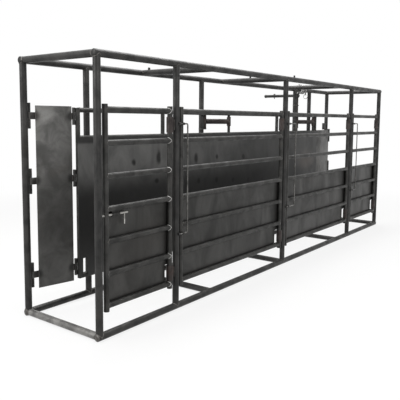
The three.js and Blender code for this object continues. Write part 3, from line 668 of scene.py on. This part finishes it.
def thickened(bm, faces, way):
    grown = bmesh.ops.extrude_face_region(bm, geom=faces)["geom"]
    bmesh.ops.translate(bm, vec=way, verts=[v for v in grown if isinstance(v, bmesh.types.BMVert)])
    return [item for item in grown if isinstance(item, bmesh.types.BMFace)]


def weld_run(bm, start, end, size=0.007):
    run = end - start
    steps = max(6, round(run.length / weld_step))
    spot = Matrix.Rotation(math.pi / 2, 4, "Z")
    bead = bmesh.new()
    bmesh.ops.create_circle(bead, cap_ends=True, segments=bead_sides, radius=size / 2, matrix=spot)
    face = bead.faces[:]
    for step in range(steps):
        face = thickened(bead, face, (0, 0, run.length / steps))
    for vert in bead.verts:
        swell = 1 + weld_swell * math.sin(vert.co.z / run.length * steps * math.pi * 0.9)
        vert.co.x *= swell
        vert.co.y *= swell
    for item in bead.faces:
        item.material_index = 1
    add_form(bm, as_form(bead), facing(start, run))


for number in range(1, 5):
    for height_name in ("upper", "lower"):
        node = f"gate_{number}_{height_name}_hinge"
        low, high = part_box(node)
        post_face = front_x[number] - post_radius
        sleeve_x = low.x + sleeve_od / 2
        middle_z = (low.z + high.z) / 2
        bm = bmesh.new()
        sleeve = ring_form(sleeve_room, sleeve_od, high.z - low.z, tube_sides, 0.0015)
        add_form(bm, sleeve, Matrix.Translation((sleeve_x, front_y, middle_z)))
        web = bmesh.new()
        edge_x = sleeve_x + sleeve_od / 2 - 0.001
        corners = [(edge_x, low.z), (post_face, low.z + web_chamfer),
                   (post_face, high.z - web_chamfer), (edge_x, high.z)]
        face = web.faces.new([web.verts.new((x, front_y - web_depth / 2, z)) for x, z in corners])
        thickened(web, [face], (0, web_depth, 0))
        bmesh.ops.recalc_face_normals(web, faces=web.faces)
        bevel_sharp(web, web_bevel)
        add_form(bm, as_form(web), Matrix.Identity(4))
        for face_y in (-1, 1):
            y = front_y + face_y * web_depth / 2
            for x, inset, size in ((post_face, web_chamfer, 0.007), (edge_x, weld_step, 0.006)):
                weld_run(bm, Vector((x, y, low.z + inset)), Vector((x, y, high.z - inset)), size)
        made_piece(bm, f"gate_{number}_{height_name}_sleeve", (hinge_steel, weld_steel), "root",
                   "hinge_steel", node)

# Latch rods and slide bolt
# Three C-shaped rods of half-inch round bar slide through the gates' bushes into the posts' keepers.
# The entry gate has a straight 3/4 in bolt with a hanging handle; hands keep all of them bright.
rod_bend = 0.016
rod_sides = 20
bright_dark = (0.060, 0.058, 0.055, 1)
bright_light = (0.20, 0.195, 0.185, 1)
rod_steel = steel_finish("handled_round_bar", bright_dark, bright_light, brown_share=0.3, cloud_scale=16,
                         rough=(0.24, 0.42), metallic=0.8)
bolt_light = (0.46, 0.45, 0.43, 1)
bolt_steel = steel_finish("bright_drawn_bar", (0.19, 0.185, 0.175, 1), bolt_light, brown_share=0.25,
                          cloud_scale=25, rough=(0.22, 0.38), metallic=0.85)


def bent_bar(points, od, bend, sides=rod_sides, steps=8):
    rings = []
    bm = bmesh.new()
    route = [points[0]]
    for before, corner, after in zip(points, points[1:], points[2:]):
        start = corner + (before - corner).normalized() * bend
        end = corner + (after - corner).normalized() * bend
        for step in range(steps + 1):
            t = step / steps
            route.append(start * (1 - t) ** 2 + corner * 2 * t * (1 - t) + end * t * t)
    route.append(points[-1])
    side = (points[1] - points[0]).cross(points[2] - points[1]).normalized()
    for index, place in enumerate(route):
        before = route[max(index - 1, 0)]
        after = route[min(index + 1, len(route) - 1)]
        run = (after - before).normalized()
        lie = Matrix.Translation(place) @ Matrix((run.cross(side), side, run)).transposed().to_4x4()
        made = bmesh.ops.create_circle(bm, segments=sides, radius=od / 2, matrix=lie)
        rings.append(made["verts"])
    for low_ring, high_ring in zip(rings, rings[1:]):
        edges = [e for ring in (low_ring, high_ring) for v in ring for e in v.link_edges
                 if e.other_vert(v) in set(ring)]
        bmesh.ops.bridge_loops(bm, edges=list(set(edges)))
    for ring in (rings[0], rings[-1]):
        bmesh.ops.contextual_create(bm, geom=ring)
    return bm


for number in (2, 3, 4):
    low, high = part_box(f"latch_rod_{number}")
    y = front_y - rod_plane
    leg_x = high.x - rod_od / 2
    corners = [Vector((low.x, y, rod_upper_z)), Vector((leg_x, y, rod_upper_z)),
               Vector((leg_x, y, rod_lower_z)), Vector((low.x, y, rod_lower_z))]
    made_piece(bent_bar(corners, rod_od, rod_bend), f"latch_bar_{number}", (rod_steel,),
               f"latch_rod_{number}", "rod_steel", f"latch_rod_{number}")

low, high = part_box("slide_bolt_1")
handle_inset = 0.034
handle_od = 0.0127
bm = bmesh.new()
round_bar(bm, Vector((low.x, front_y, bolt_z)), Vector((high.x, front_y, bolt_z)), bolt_od)
bevel_sharp(bm, 0.002, 3)
handle_x = high.x - handle_inset
upright_bar(bm, handle_x, front_y, low.z + 0.002, bolt_z, handle_od)
bead = bead_form(handle_od, bolt_od, 0.005)
add_form(bm, bead, bead_place(Vector((handle_x, front_y, bolt_z)), -along_z, along_x))
made_piece(bm, "slide_bolt_bar", (bolt_steel, weld_steel), "slide_bolt", "rod_steel", "slide_bolt_1")

# Carriers of the swing arms
# Two rear posts carry round-ended lug plates: the middle one holds two fixed pins between its lugs,
# the exit one has bored lugs that the lever's shaft turns in.
arm_length = 0.404
arm_angle = math.radians(10.95)
middle_offset = 0.058
exit_offset = 0.078
lug_half = 0.026
lug_thickness = 0.010
pivot_od = 0.0334
pivot_room = 0.0356
top_lug_drop = 0.150
carrier_barrel = 0.165
wall_barrel = 0.110
running_gap = 0.0005
pin_overlap = 0.003
arm_heights = {level: middle_of(f"middle_{level}_arm").z for level in ("lower", "upper")}
middle_pivot = Vector((rear_x[2] + middle_offset, rear_y, 0))
exit_pivot = Vector((rear_x[3] + exit_offset, rear_y, 0))
lever_z = middle_of("adjusting_lever").z


def lug_plate(bm, post_x, reach, z):
    lug = bmesh.new()
    start = Vector((reach, -lug_half, 0))
    tip = [lug.verts.new(start)]
    bmesh.ops.spin(lug, geom=tip, cent=(reach, 0, 0), axis=(0, 0, 1), angle=math.pi, steps=16)
    lug.verts.ensure_lookup_table()
    ends = [v for v in lug.verts if len(v.link_edges) == 1]
    back = [lug.verts.new((0, v.co.y, 0)) for v in ends]
    for near, far in zip(ends, back):
        lug.edges.new((near, far))
    lug.edges.new(back)
    bmesh.ops.contextual_create(lug, geom=lug.edges[:])
    thickened(lug, lug.faces[:], (0, 0, lug_thickness))
    bmesh.ops.recalc_face_normals(lug, faces=lug.faces)
    bevel_sharp(lug, web_bevel)
    add_form(bm, as_form(lug), Matrix.Translation((post_x, rear_y, z)))


def lug_beads(bm, post_x, z):
    for face_z in (z, z + lug_thickness):
        add_form(bm, post_bead_flat, Matrix.Translation((post_x, rear_y, face_z)))


def lug_heights(arm_z):
    half = carrier_barrel / 2 + running_gap
    return arm_z - half - lug_thickness, arm_z + half


post_bead_flat = bead_form(frame_tube, 0, 0.006)
bm = bmesh.new()
post(bm, rear_x[2], rear_y)
for level in ("lower", "upper"):
    low_lug, high_lug = lug_heights(arm_heights[level])
    for z in (low_lug, high_lug):
        lug_plate(bm, rear_x[2], middle_offset, z)
        lug_beads(bm, rear_x[2], z)
    upright_bar(bm, *middle_pivot.xy, low_lug, high_lug + lug_thickness, pivot_od)
frame_piece(bm, "middle_carrier_post", "rear_post_3")

bm = bmesh.new()
post(bm, rear_x[3], rear_y)
lugs = [*lug_heights(arm_heights["lower"]), *lug_heights(arm_heights["upper"]), lever_z - top_lug_drop]
for z in lugs:
    lug = bmesh.new()
    lug_plate(lug, rear_x[3], exit_offset, z)
    under, over = [exit_pivot + along_z * (z + lug_thickness * share) for share in (-1, 2)]
    bm.from_mesh(drilled(lug, under, over, pivot_room))
    lug_beads(bm, rear_x[3], z)
frame_piece(bm, "exit_carrier_post", "rear_post_4")

# Swing arms
# Four equal arms of 2 in pipe, each between two bored barrels: parallel, so the wall stays square.
# The exit pair is fixed to the lever's shaft, the middle pair turns on the carrier's pins.
arm_tube = 0.0603
barrel_od = 0.0483
arm_end_inset = 0.0225
arm_way = Vector((math.cos(arm_angle), -math.sin(arm_angle), 0))
carrier_ring = ring_form(pivot_room, barrel_od, carrier_barrel, tube_sides, 0.001)
wall_ring = ring_form(pivot_room, barrel_od, wall_barrel, tube_sides, 0.001)
arm_bead = bead_form(arm_tube * 0.78, barrel_od, 0.007)
for where, pivot, body in (("middle", middle_pivot, "middle_arms"), ("exit", exit_pivot, "lever_assembly")):
    for level, z in arm_heights.items():
        bm = bmesh.new()
        near = pivot + along_z * z
        far = near + arm_way * arm_length
        round_bar(bm, near + arm_way * arm_end_inset, far - arm_way * arm_end_inset, arm_tube)
        add_form(bm, carrier_ring, Matrix.Translation(near))
        add_form(bm, wall_ring, Matrix.Translation(far))
        add_form(bm, arm_bead, bead_place(near, arm_way, along_z))
        add_form(bm, arm_bead, bead_place(far, -arm_way, along_z))
        made_piece(bm, f"{where}_{level}_swing_arm", (hinge_steel, weld_steel), body, "hinge_steel",
                   f"{where}_{level}_arm")

# Lever and its shaft
# The shaft is tube through the exit carrier's lugs; the lever is tube welded to a hub on its top,
# with a steel ball at the hand end and a loose pin dropped through it.
low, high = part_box("lever_shaft")
bm = bmesh.new()
shaft_bore = 0.0274
add_form(bm, ring_form(shaft_bore, pivot_od, high.z - low.z),
         Matrix.Translation((exit_pivot.x, rear_y, (low.z + high.z) / 2)))
made_piece(bm, "lever_turning_shaft", (hinge_steel,), "lever_assembly", "hinge_steel", "lever_shaft")

lever_tube = 0.0424
lever_ball = 0.050
hub_od = 0.054
hub_height = 0.056
hub_room = 0.0346
low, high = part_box("adjusting_lever")
ball_y = high.y - lever_ball / 2
bm = bmesh.new()
hub = Vector((exit_pivot.x, rear_y, lever_z))
hub_side = along_y * hub_od * seat_share
ball = Vector((exit_pivot.x, ball_y, lever_z))
round_bar(bm, hub + hub_side, ball, lever_tube)
round_bar(bm, Vector((exit_pivot.x, low.y + 0.002, lever_z)), hub - hub_side, lever_tube)
add_form(bm, ring_form(hub_room, hub_od, hub_height, tube_sides, 0.002), Matrix.Translation(hub))
bmesh.ops.create_uvsphere(bm, u_segments=tube_sides, v_segments=24, radius=lever_ball / 2,
                          matrix=Matrix.Translation(ball))
lever_bead = bead_form(lever_tube, hub_od, 0.007)
add_form(bm, lever_bead, bead_place(hub, along_y, along_z))
made_piece(bm, "lever_arm_and_ball", (frame_steel, weld_steel), "lever_assembly", "frame_steel",
           "adjusting_lever")

pin_od = 0.014
pin_head = 0.030
pin_head_height = 0.014
low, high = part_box("lever_pin")
pin_x, pin_y = (low.x + high.x) / 2, (low.y + high.y) / 2
bm = bmesh.new()
upright_bar(bm, pin_x, pin_y, low.z, high.z - pin_head_height / 2, pin_od, 24)
upright_bar(bm, pin_x, pin_y, high.z - pin_head_height, high.z, pin_head, 32)
bevel_sharp(bm, 0.0018, 3)
made_piece(bm, "lever_drop_pin", (rod_steel,), "lever_assembly", "rod_steel", "lever_pin")

# Adjustable wall
# A long frame of 1 1/4 in pipe with a sheet on its alley side up to the fourth rail. Its pins stand
# between the paired rails and turn in the swing arms' barrels.
wall_tube = 0.0422
wall_radius = wall_tube / 2
wall_upright_past_pivot = 0.062
wall_pivot_y = rear_y - arm_length * math.sin(arm_angle)
wall_low, wall_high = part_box("wall_frame")
sheet_low, sheet_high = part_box("wall_sheet")
wall_y = wall_low.y + wall_radius
wall_bottom = wall_low.z
wall_top = wall_high.z
lower_window = 0.213
upper_window = wall_top - wall_radius - sheet_high.z
stay_offsets = (1.603, 4.003)
sheet_top = sheet_high.z
wall_rails = [wall_bottom + wall_radius, wall_bottom + wall_radius + lower_window,
              (wall_bottom + wall_radius + lower_window + sheet_top) / 2, sheet_top, sheet_top + upper_window]
wall_pivots = [pivot.x + arm_length * math.cos(arm_angle) for pivot in (middle_pivot, exit_pivot)]
upright_x = [sheet_low.x + wall_radius, wall_pivots[0] + wall_upright_past_pivot, sheet_high.x - wall_radius]
stay_x = [entry_x + offset for offset in stay_offsets]
wall_bead = bead_form(wall_tube, wall_tube, 0.006)


def hinge_lugs(bm, base, way, offset, lug_height, knuckle_heights):
    barrel = ring_form(0.004, lug_od, lug_height, 32, 0.0012)
    side = Vector((way.y, -way.x, 0)) * lug_web / 2
    pivot = base + way * offset
    edge = base + way * (offset - lug_od * 0.30)
    corners = list(zip(base - side, base + side, edge - side, edge + side))
    low, high = Vector(map(min, corners)), Vector(map(max, corners))
    for z in knuckle_heights:
        for middle_z in (z - fit_gap - lug_height / 2, z + knuckle_height + fit_gap + lug_height / 2):
            add_form(bm, barrel, Matrix.Translation(pivot + along_z * middle_z))
            web_half = along_z * (lug_height / 2 - 0.003)
            plate(bm, low + along_z * middle_z - web_half, high + along_z * middle_z + web_half)
        upright_bar(bm, *pivot.xy, z - 0.002, z + knuckle_height + 0.002, hinge_pin_od, 24)
    bpy.data.meshes.remove(barrel)


fit_gap = 0.0003
lug_od = 0.026
lug_web = 0.016
hinge_pin_od = 0.016
knuckle_height = 0.060
post_lug_height = 0.075
wall_lug_height = 0.045
entry_offset = 0.046
wall_stile_offset = 0.038
exit_hinge_setback = 0.046
exit_hinge_shift = 0.024
entry_hinge_shares = (0.08, 0.595, 0.945)
exit_hinge_shares = (0.1, 0.52, 0.93)


def knuckle_places(node, shares):
    low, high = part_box(node)
    return [low.z + (high.z - low.z) * share - knuckle_height / 2 for share in shares]


entry_knuckles = knuckle_places("entry_filler", entry_hinge_shares)
exit_knuckles = knuckle_places("exit_filler", exit_hinge_shares)

bm = bmesh.new()
for x, top in zip([*upright_x, *stay_x], (wall_top, sheet_top, wall_top, wall_top, wall_top)):
    upright_bar(bm, x, wall_y, wall_bottom, top - 0.002, wall_tube)
for z in wall_rails:
    start, end = Vector((upright_x[0], wall_y, z)), Vector((upright_x[2], wall_y, z))
    beaded_bar(bm, start, end, wall_tube, along_z, wall_bead)
    for stay in (stay_x if z >= sheet_top - 0.001 else [*stay_x, upright_x[1]]):
        for way in (along_x, -along_x):
            add_form(bm, wall_bead, bead_place(Vector((stay, wall_y, z)), way, along_z))
for pivot_x in wall_pivots:
    for z, window in ((wall_rails[0], lower_window), (wall_rails[3], upper_window)):
        start = Vector((pivot_x, wall_pivot_y, z + wall_radius - pin_overlap))
        round_bar(bm, start, start + along_z * (window - wall_tube + 2 * pin_overlap), pivot_od)
hinge_lugs(bm, Vector((upright_x[0], wall_pivot_y, 0)), -along_x, wall_stile_offset, wall_lug_height,
           entry_knuckles)
made_piece(bm, "wall_tubework", (gate_steel, weld_steel), "wall", "gate_steel", "wall_frame")

# Wall sheet
# Eleven gauge hot rolled sheet stitched to the wall's tubes: the heat of each stitch shows through
# as a dark spot in a row, and hands and loading left darker smudges on it.
notch_width = 0.052
notch_low = 0.012
notch_height = 0.165
wall_sheet_dark = (0.072, 0.072, 0.070, 1)
wall_sheet_light = (0.142, 0.140, 0.136, 1)
# Colour of the painted shade on the wall sheet's lower part.
wall_sheet_painted_shade = (0.018, 0.018, 0.0175, 1)
wall_sheet_far = (0.026, 0.026, 0.0252, 1)
wall_sheet_edge = (0.012, 0.012, 0.012, 1)
edge_strip = 0.045
burn_dark = (0.009, 0.0085, 0.008, 1)
warm_patch = (0.100, 0.085, 0.076, 1)
burn_height = 0.990
burn_fall = -0.052
burn_first = -1.285
burn_spacing = 0.352
burn_radius = 0.036
smudges = ((-1.622, 1.248, 0.036, 0.042), (-1.254, 1.280, 0.040, 0.100), (-0.629, 1.240, 0.045, 0.070),
           (-0.222, 1.244, 0.036, 0.040), (0.348, 1.218, 0.042, 0.038), (2.318, 0.958, 0.055, 0.048),
           (2.457, 1.030, 0.055, 0.044))
wander_scale = 9
wander_reach = (0.04, 0, 0.05)
far_fade = (-1.7, 1.2, 0, 0.85)
low_shade_fade = (0.92, 1.22, 0.85, 0)
edge_strip_reach = (1.4, 0.8)
edge_strip_share = 0.8
burn_count = 7
burn_fade = (0.4, 1.1, 0.85)
warm_fade = (0.2, 1.0, 0.6)
smudge_fade = (0.3, 1.1, 0.9)
wall_sheet_grid = (60, 20)
warm_centre = (2.12, 1.08)
warm_size = (0.38, 0.20)


def marked(tree, where, colour, mark, centre, size, fade):
    full, faded, amount = fade
    inputs = {"Vector": where, "Location": [-c / s for c, s in zip(centre, size)],
              "Scale": [1 / s for s in size]}
    here = paint_step(tree, "Mapping", inputs).outputs["Vector"]
    reach = paint_step(tree, "VectorMath", {0: here}, operation="LENGTH").outputs["Value"]
    return tinted(tree, colour, mark, ramped(tree, reach, full, faded, amount, 0))


def wall_marks(tree, spot, colour):
    wander = paint_step(tree, "TexNoise", {"Vector": spot, "Scale": wander_scale, "Detail": 5})
    push = {0: wander.outputs["Color"], 1: wander_reach, 2: spot}
    moved = paint_step(tree, "VectorMath", push, operation="MULTIPLY_ADD").outputs[0]
    parts = paint_step(tree, "SeparateXYZ", {0: spot}).outputs
    colour = tinted(tree, colour, wall_sheet_far, ramped(tree, parts["X"], *far_fade))
    # Painted shade: the sheet is darkened below about 0.92 m, fading out by 1.22 m, where shade falls on the
    # lower wall.
    colour = tinted(tree, colour, wall_sheet_painted_shade, ramped(tree, parts["Z"], *low_shade_fade))
    strip_low, strip_high = [sheet_top - edge_strip * reach for reach in edge_strip_reach]
    strip = ramped(tree, parts["Z"], strip_low, strip_high, 0, edge_strip_share)
    colour = tinted(tree, colour, wall_sheet_edge, strip)
    for index in range(burn_count):
        burn = (burn_first + burn_spacing * index, wall_y, burn_height + burn_fall * (index / 2 - 1))
        colour = marked(tree, moved, colour, burn_dark, burn, (burn_radius, 1, burn_radius), burn_fade)
    centre, size = (warm_centre[0], wall_y, warm_centre[1]), (warm_size[0], 1, warm_size[1])
    colour = marked(tree, moved, colour, warm_patch, centre, size, warm_fade)
    for x, z, wide, tall in smudges:
        colour = marked(tree, moved, colour, burn_dark, (x, wall_y, z), (wide, 1, tall), smudge_fade)
    return colour


wall_steel = steel_finish("hot_rolled_wall_sheet", wall_sheet_dark, wall_sheet_light, brown=sheet_brown,
                          cloud_scale=2.4, stretch=(1.4, 1, 0.9), grain_scale=70, rough=(0.34, 0.52),
                          marks=wall_marks)
slot_low = Vector((sheet_low.x + wall_tube, sheet_low.y, wall_bottom + notch_low))
slot_high = slot_low + Vector((notch_width, sheet_high.y - sheet_low.y, notch_height))
bm = bmesh.new()
rippled_sheet(bm, sheet_low, sheet_high, *wall_sheet_grid)
bm = opened(bm, slot_low, slot_high)
made_piece(bm, "wall_sheeting", (wall_steel,), "wall", "sheet_steel", "wall_sheet")

# Filler plates and their hinge posts
# Plates of 4 mm steel on three barrel hinges. The entry one ties the corner post to the wall and swings
# with it, the exit one hangs on the last post. Their faces are paler and cloudier than the rest.
filler_dark = (0.056, 0.055, 0.0525, 1)
filler_light = (0.130, 0.128, 0.123, 1)
exit_filler_dark = (0.048, 0.047, 0.045, 1)
exit_filler_light = (0.115, 0.113, 0.109, 1)
filler_thickness = 0.004
exit_angle = math.pi + math.radians(3.5)
exit_length = 0.564
exit_gap = 0.020
filler_post_gap = 0.054
filler_wall_gap = 0.020
tab_room = 0.010
tab_overlap = 0.002
tab_inset = 0.001
filler_bevel = 0.0008
filler_brown = (0.10, 0.082, 0.07, 1)
scorch_size = (0.055, 0.10, 0.055)
scorch_fade = (0.35, 1.1, 0.8)
low_share = 0.5
filler_weld = 0.005


def filler_marks(tree, spot, colour):
    parts = paint_step(tree, "SeparateXYZ", {0: spot}).outputs
    low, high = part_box("entry_filler")
    colour = tinted(tree, colour, filler_dark, ramped(tree, parts["Z"], low.z, high.z, low_share, 0))
    for z in entry_knuckles:
        for x, y in ((low.x + 0.06, low.y + 0.064), (high.x - 0.04, low.y + 0.006)):
            scorch = (x, y, z + knuckle_height / 2)
            colour = marked(tree, spot, colour, burn_dark, scorch, scorch_size, scorch_fade)
    return colour


entry_filler_steel = steel_finish("cloudy_filler_plate", filler_dark, filler_light, brown=filler_brown,
                                  cloud_scale=6, grain_scale=90, rough=(0.36, 0.52), marks=filler_marks)
exit_filler_steel = steel_finish("plain_filler_plate", exit_filler_dark, exit_filler_light,
                                 brown=filler_brown, cloud_scale=5, grain_scale=90, rough=(0.36, 0.52))
knuckle_ring = ring_form(0.0176, lug_od, knuckle_height, 32, 0.001)


def filler(node, finish, hinge, way, start, end, reaches, knuckle_heights):
    low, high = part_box(node)
    half = filler_thickness / 2
    bm = bmesh.new()
    plate(bm, Vector((start, -half, low.z)), Vector((end, half, high.z)))
    for reach in reaches:
        tab_low, tab_high = reach + tab_room, start + tab_overlap
        if reach > start:
            tab_low, tab_high = end - tab_overlap, reach - tab_room
        for z in knuckle_heights:
            plate(bm, Vector((tab_low, -half, z + tab_inset)),
                  Vector((tab_high, half, z + knuckle_height - tab_inset)))
    bevel_sharp(bm, filler_bevel)
    for reach in reaches:
        for z in knuckle_heights:
            add_form(bm, knuckle_ring, Matrix.Translation((reach, 0, z + knuckle_height / 2)))
            foot = Vector((start if reach < start else end, -half, z))
            weld_run(bm, foot, foot + along_z * knuckle_height, filler_weld)
    bmesh.ops.transform(bm, verts=bm.verts, matrix=Matrix.Translation(hinge) @ Matrix.Rotation(way, 4, "Z"))
    made_piece(bm, f"{node}_plate", (finish, weld_steel), node, "filler_steel", node)


exit_hinge_base = Vector((exit_x + exit_hinge_shift, rear_y, 0))
filler("entry_filler", entry_filler_steel, Vector((entry_x + entry_offset, rear_y, 0)), -arm_angle,
       filler_post_gap, arm_length - filler_wall_gap, (0, arm_length), entry_knuckles)
filler("exit_filler", exit_filler_steel, exit_hinge_base - along_y * exit_hinge_setback, exit_angle, exit_gap,
       exit_length, (0,), exit_knuckles)

bm = bmesh.new()
post(bm, entry_x, rear_y)
hinge_lugs(bm, Vector((entry_x, rear_y, 0)), along_x, entry_offset, post_lug_height, entry_knuckles)
frame_piece(bm, "entry_hinge_post", "rear_post_1")

bracket_width = 0.084
bracket_height = 0.105
bracket_rise = 0.006
bracket_depth = 0.034
bm = bmesh.new()
post(bm, exit_x, rear_y)
hinge_lugs(bm, exit_hinge_base, -along_y, exit_hinge_setback, post_lug_height, exit_knuckles)
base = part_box("exit_filler")[1].z + bracket_rise
plate(bm, Vector((exit_x - post_radius - bracket_width, rear_y - bracket_depth / 2, base)),
      Vector((exit_x - post_radius * 0.5, rear_y + bracket_depth / 2, base + bracket_height)))
frame_piece(bm, "exit_hinge_post", "rear_post_6")

# Tie chain and ring
# A welded-link chain for tying the lever, wound four times round the rear top rail, its ring on the end.
# A second layer is heaped on the first, as in the photo. The links stand flat and on edge by turns.
link_wire = 0.008
link_pitch = 0.026
link_width = 0.026
chain_slack = 0.006
chain_side_room = 0.0045
chain_turns = 4
chain_low, chain_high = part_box("tie_chain")
ring_low, ring_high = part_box("tie_ring")
chain_pitch = 0.034
cad_chain_radius = 0.0065
chain_start_x = chain_low.x + cad_chain_radius
chain_radius = post_radius + link_wire / 2 + chain_side_room + chain_slack
# The near-white cloud patches on the chain's and ring's dark steel are painted highlights, glints of light on
# the links.
chain_dark = (0.035, 0.034, 0.033, 1)
chain_glint_light = (0.85, 0.84, 0.83, 1)
chain_glint_steel = steel_finish("chain_with_painted_glints", chain_dark, chain_glint_light, brown_share=0.3, cloud_scale=55,
                           rough=(0.22, 0.40), metallic=0.85)


def link_form(wire, inside_length, width):
    link = bmesh.new()
    middle = (width - wire) / 2
    wire_ring(link, middle, wire, 8, 16, math.pi / 16)
    stretch = inside_length / 2 - (middle - wire / 2)
    for vert in link.verts:
        vert.co.y += math.copysign(stretch, vert.co.y)
    return as_form(link)


link = link_form(link_wire, link_pitch, link_width)
heap_rise = 0.019
link_tilt = 45
tail_pitch_share = 0.96
heap_turns = (0.6, 3.4)
bm = bmesh.new()
for heap, (first_turn, last_turn) in ((0, (0, chain_turns)), (heap_rise, heap_turns)):
    radius = chain_radius + heap
    turns = last_turn - first_turn
    link_count = round(math.hypot(math.tau * radius, chain_pitch) * turns / link_pitch)
    for index in range(link_count):
        t = first_turn + (index + 0.5) / link_count * turns
        around = math.pi - math.tau * t
        centre = Vector((chain_start_x + chain_pitch * t, rear_y + radius * math.cos(around),
                         high_z - chain_slack + heap - radius * math.sin(around)))
        outward = Vector((0, math.cos(around), -math.sin(around)))
        circling = radius * math.tau
        run = Vector((chain_pitch, circling * math.sin(around), circling * math.cos(around))).normalized()
        tilt = Matrix.Rotation(math.radians(link_tilt if index % 2 else -link_tilt), 4, "Y")
        across = run.cross(outward).normalized()
        lie = Matrix((across, run, across.cross(run))).transposed().to_4x4()
        add_form(bm, link, Matrix.Translation(centre) @ lie @ tilt)
tail_top = Vector((chain_high.x - cad_chain_radius, rear_y - chain_radius, high_z - chain_slack))
tail_links = max(1, round((tail_top.z - ring_high.z) / link_pitch))
for index in range(tail_links + 1):
    centre = tail_top - along_z * link_pitch * index * tail_pitch_share
    upright = Matrix.Rotation(math.pi / 2, 4, "X")
    twist = Matrix.Rotation(math.radians(90 * (index % 2)), 4, "Z")
    add_form(bm, link, Matrix.Translation(centre) @ twist @ upright)
made_piece(bm, "tie_chain_links", (chain_glint_steel,), "root", "rod_steel", "tie_chain")

ring_wire = 0.009
ring_od = ring_high.z - ring_low.z
bm = bmesh.new()
wire_ring(bm, (ring_od - ring_wire) / 2, ring_wire, 16, 48)
ring_middle = (ring_low + ring_high) / 2
bmesh.ops.transform(bm, verts=bm.verts, matrix=Matrix.Translation(ring_middle) @ turn_to_x)
made_piece(bm, "tie_chain_ring", (chain_glint_steel,), "root", "rod_steel", "tie_ring")
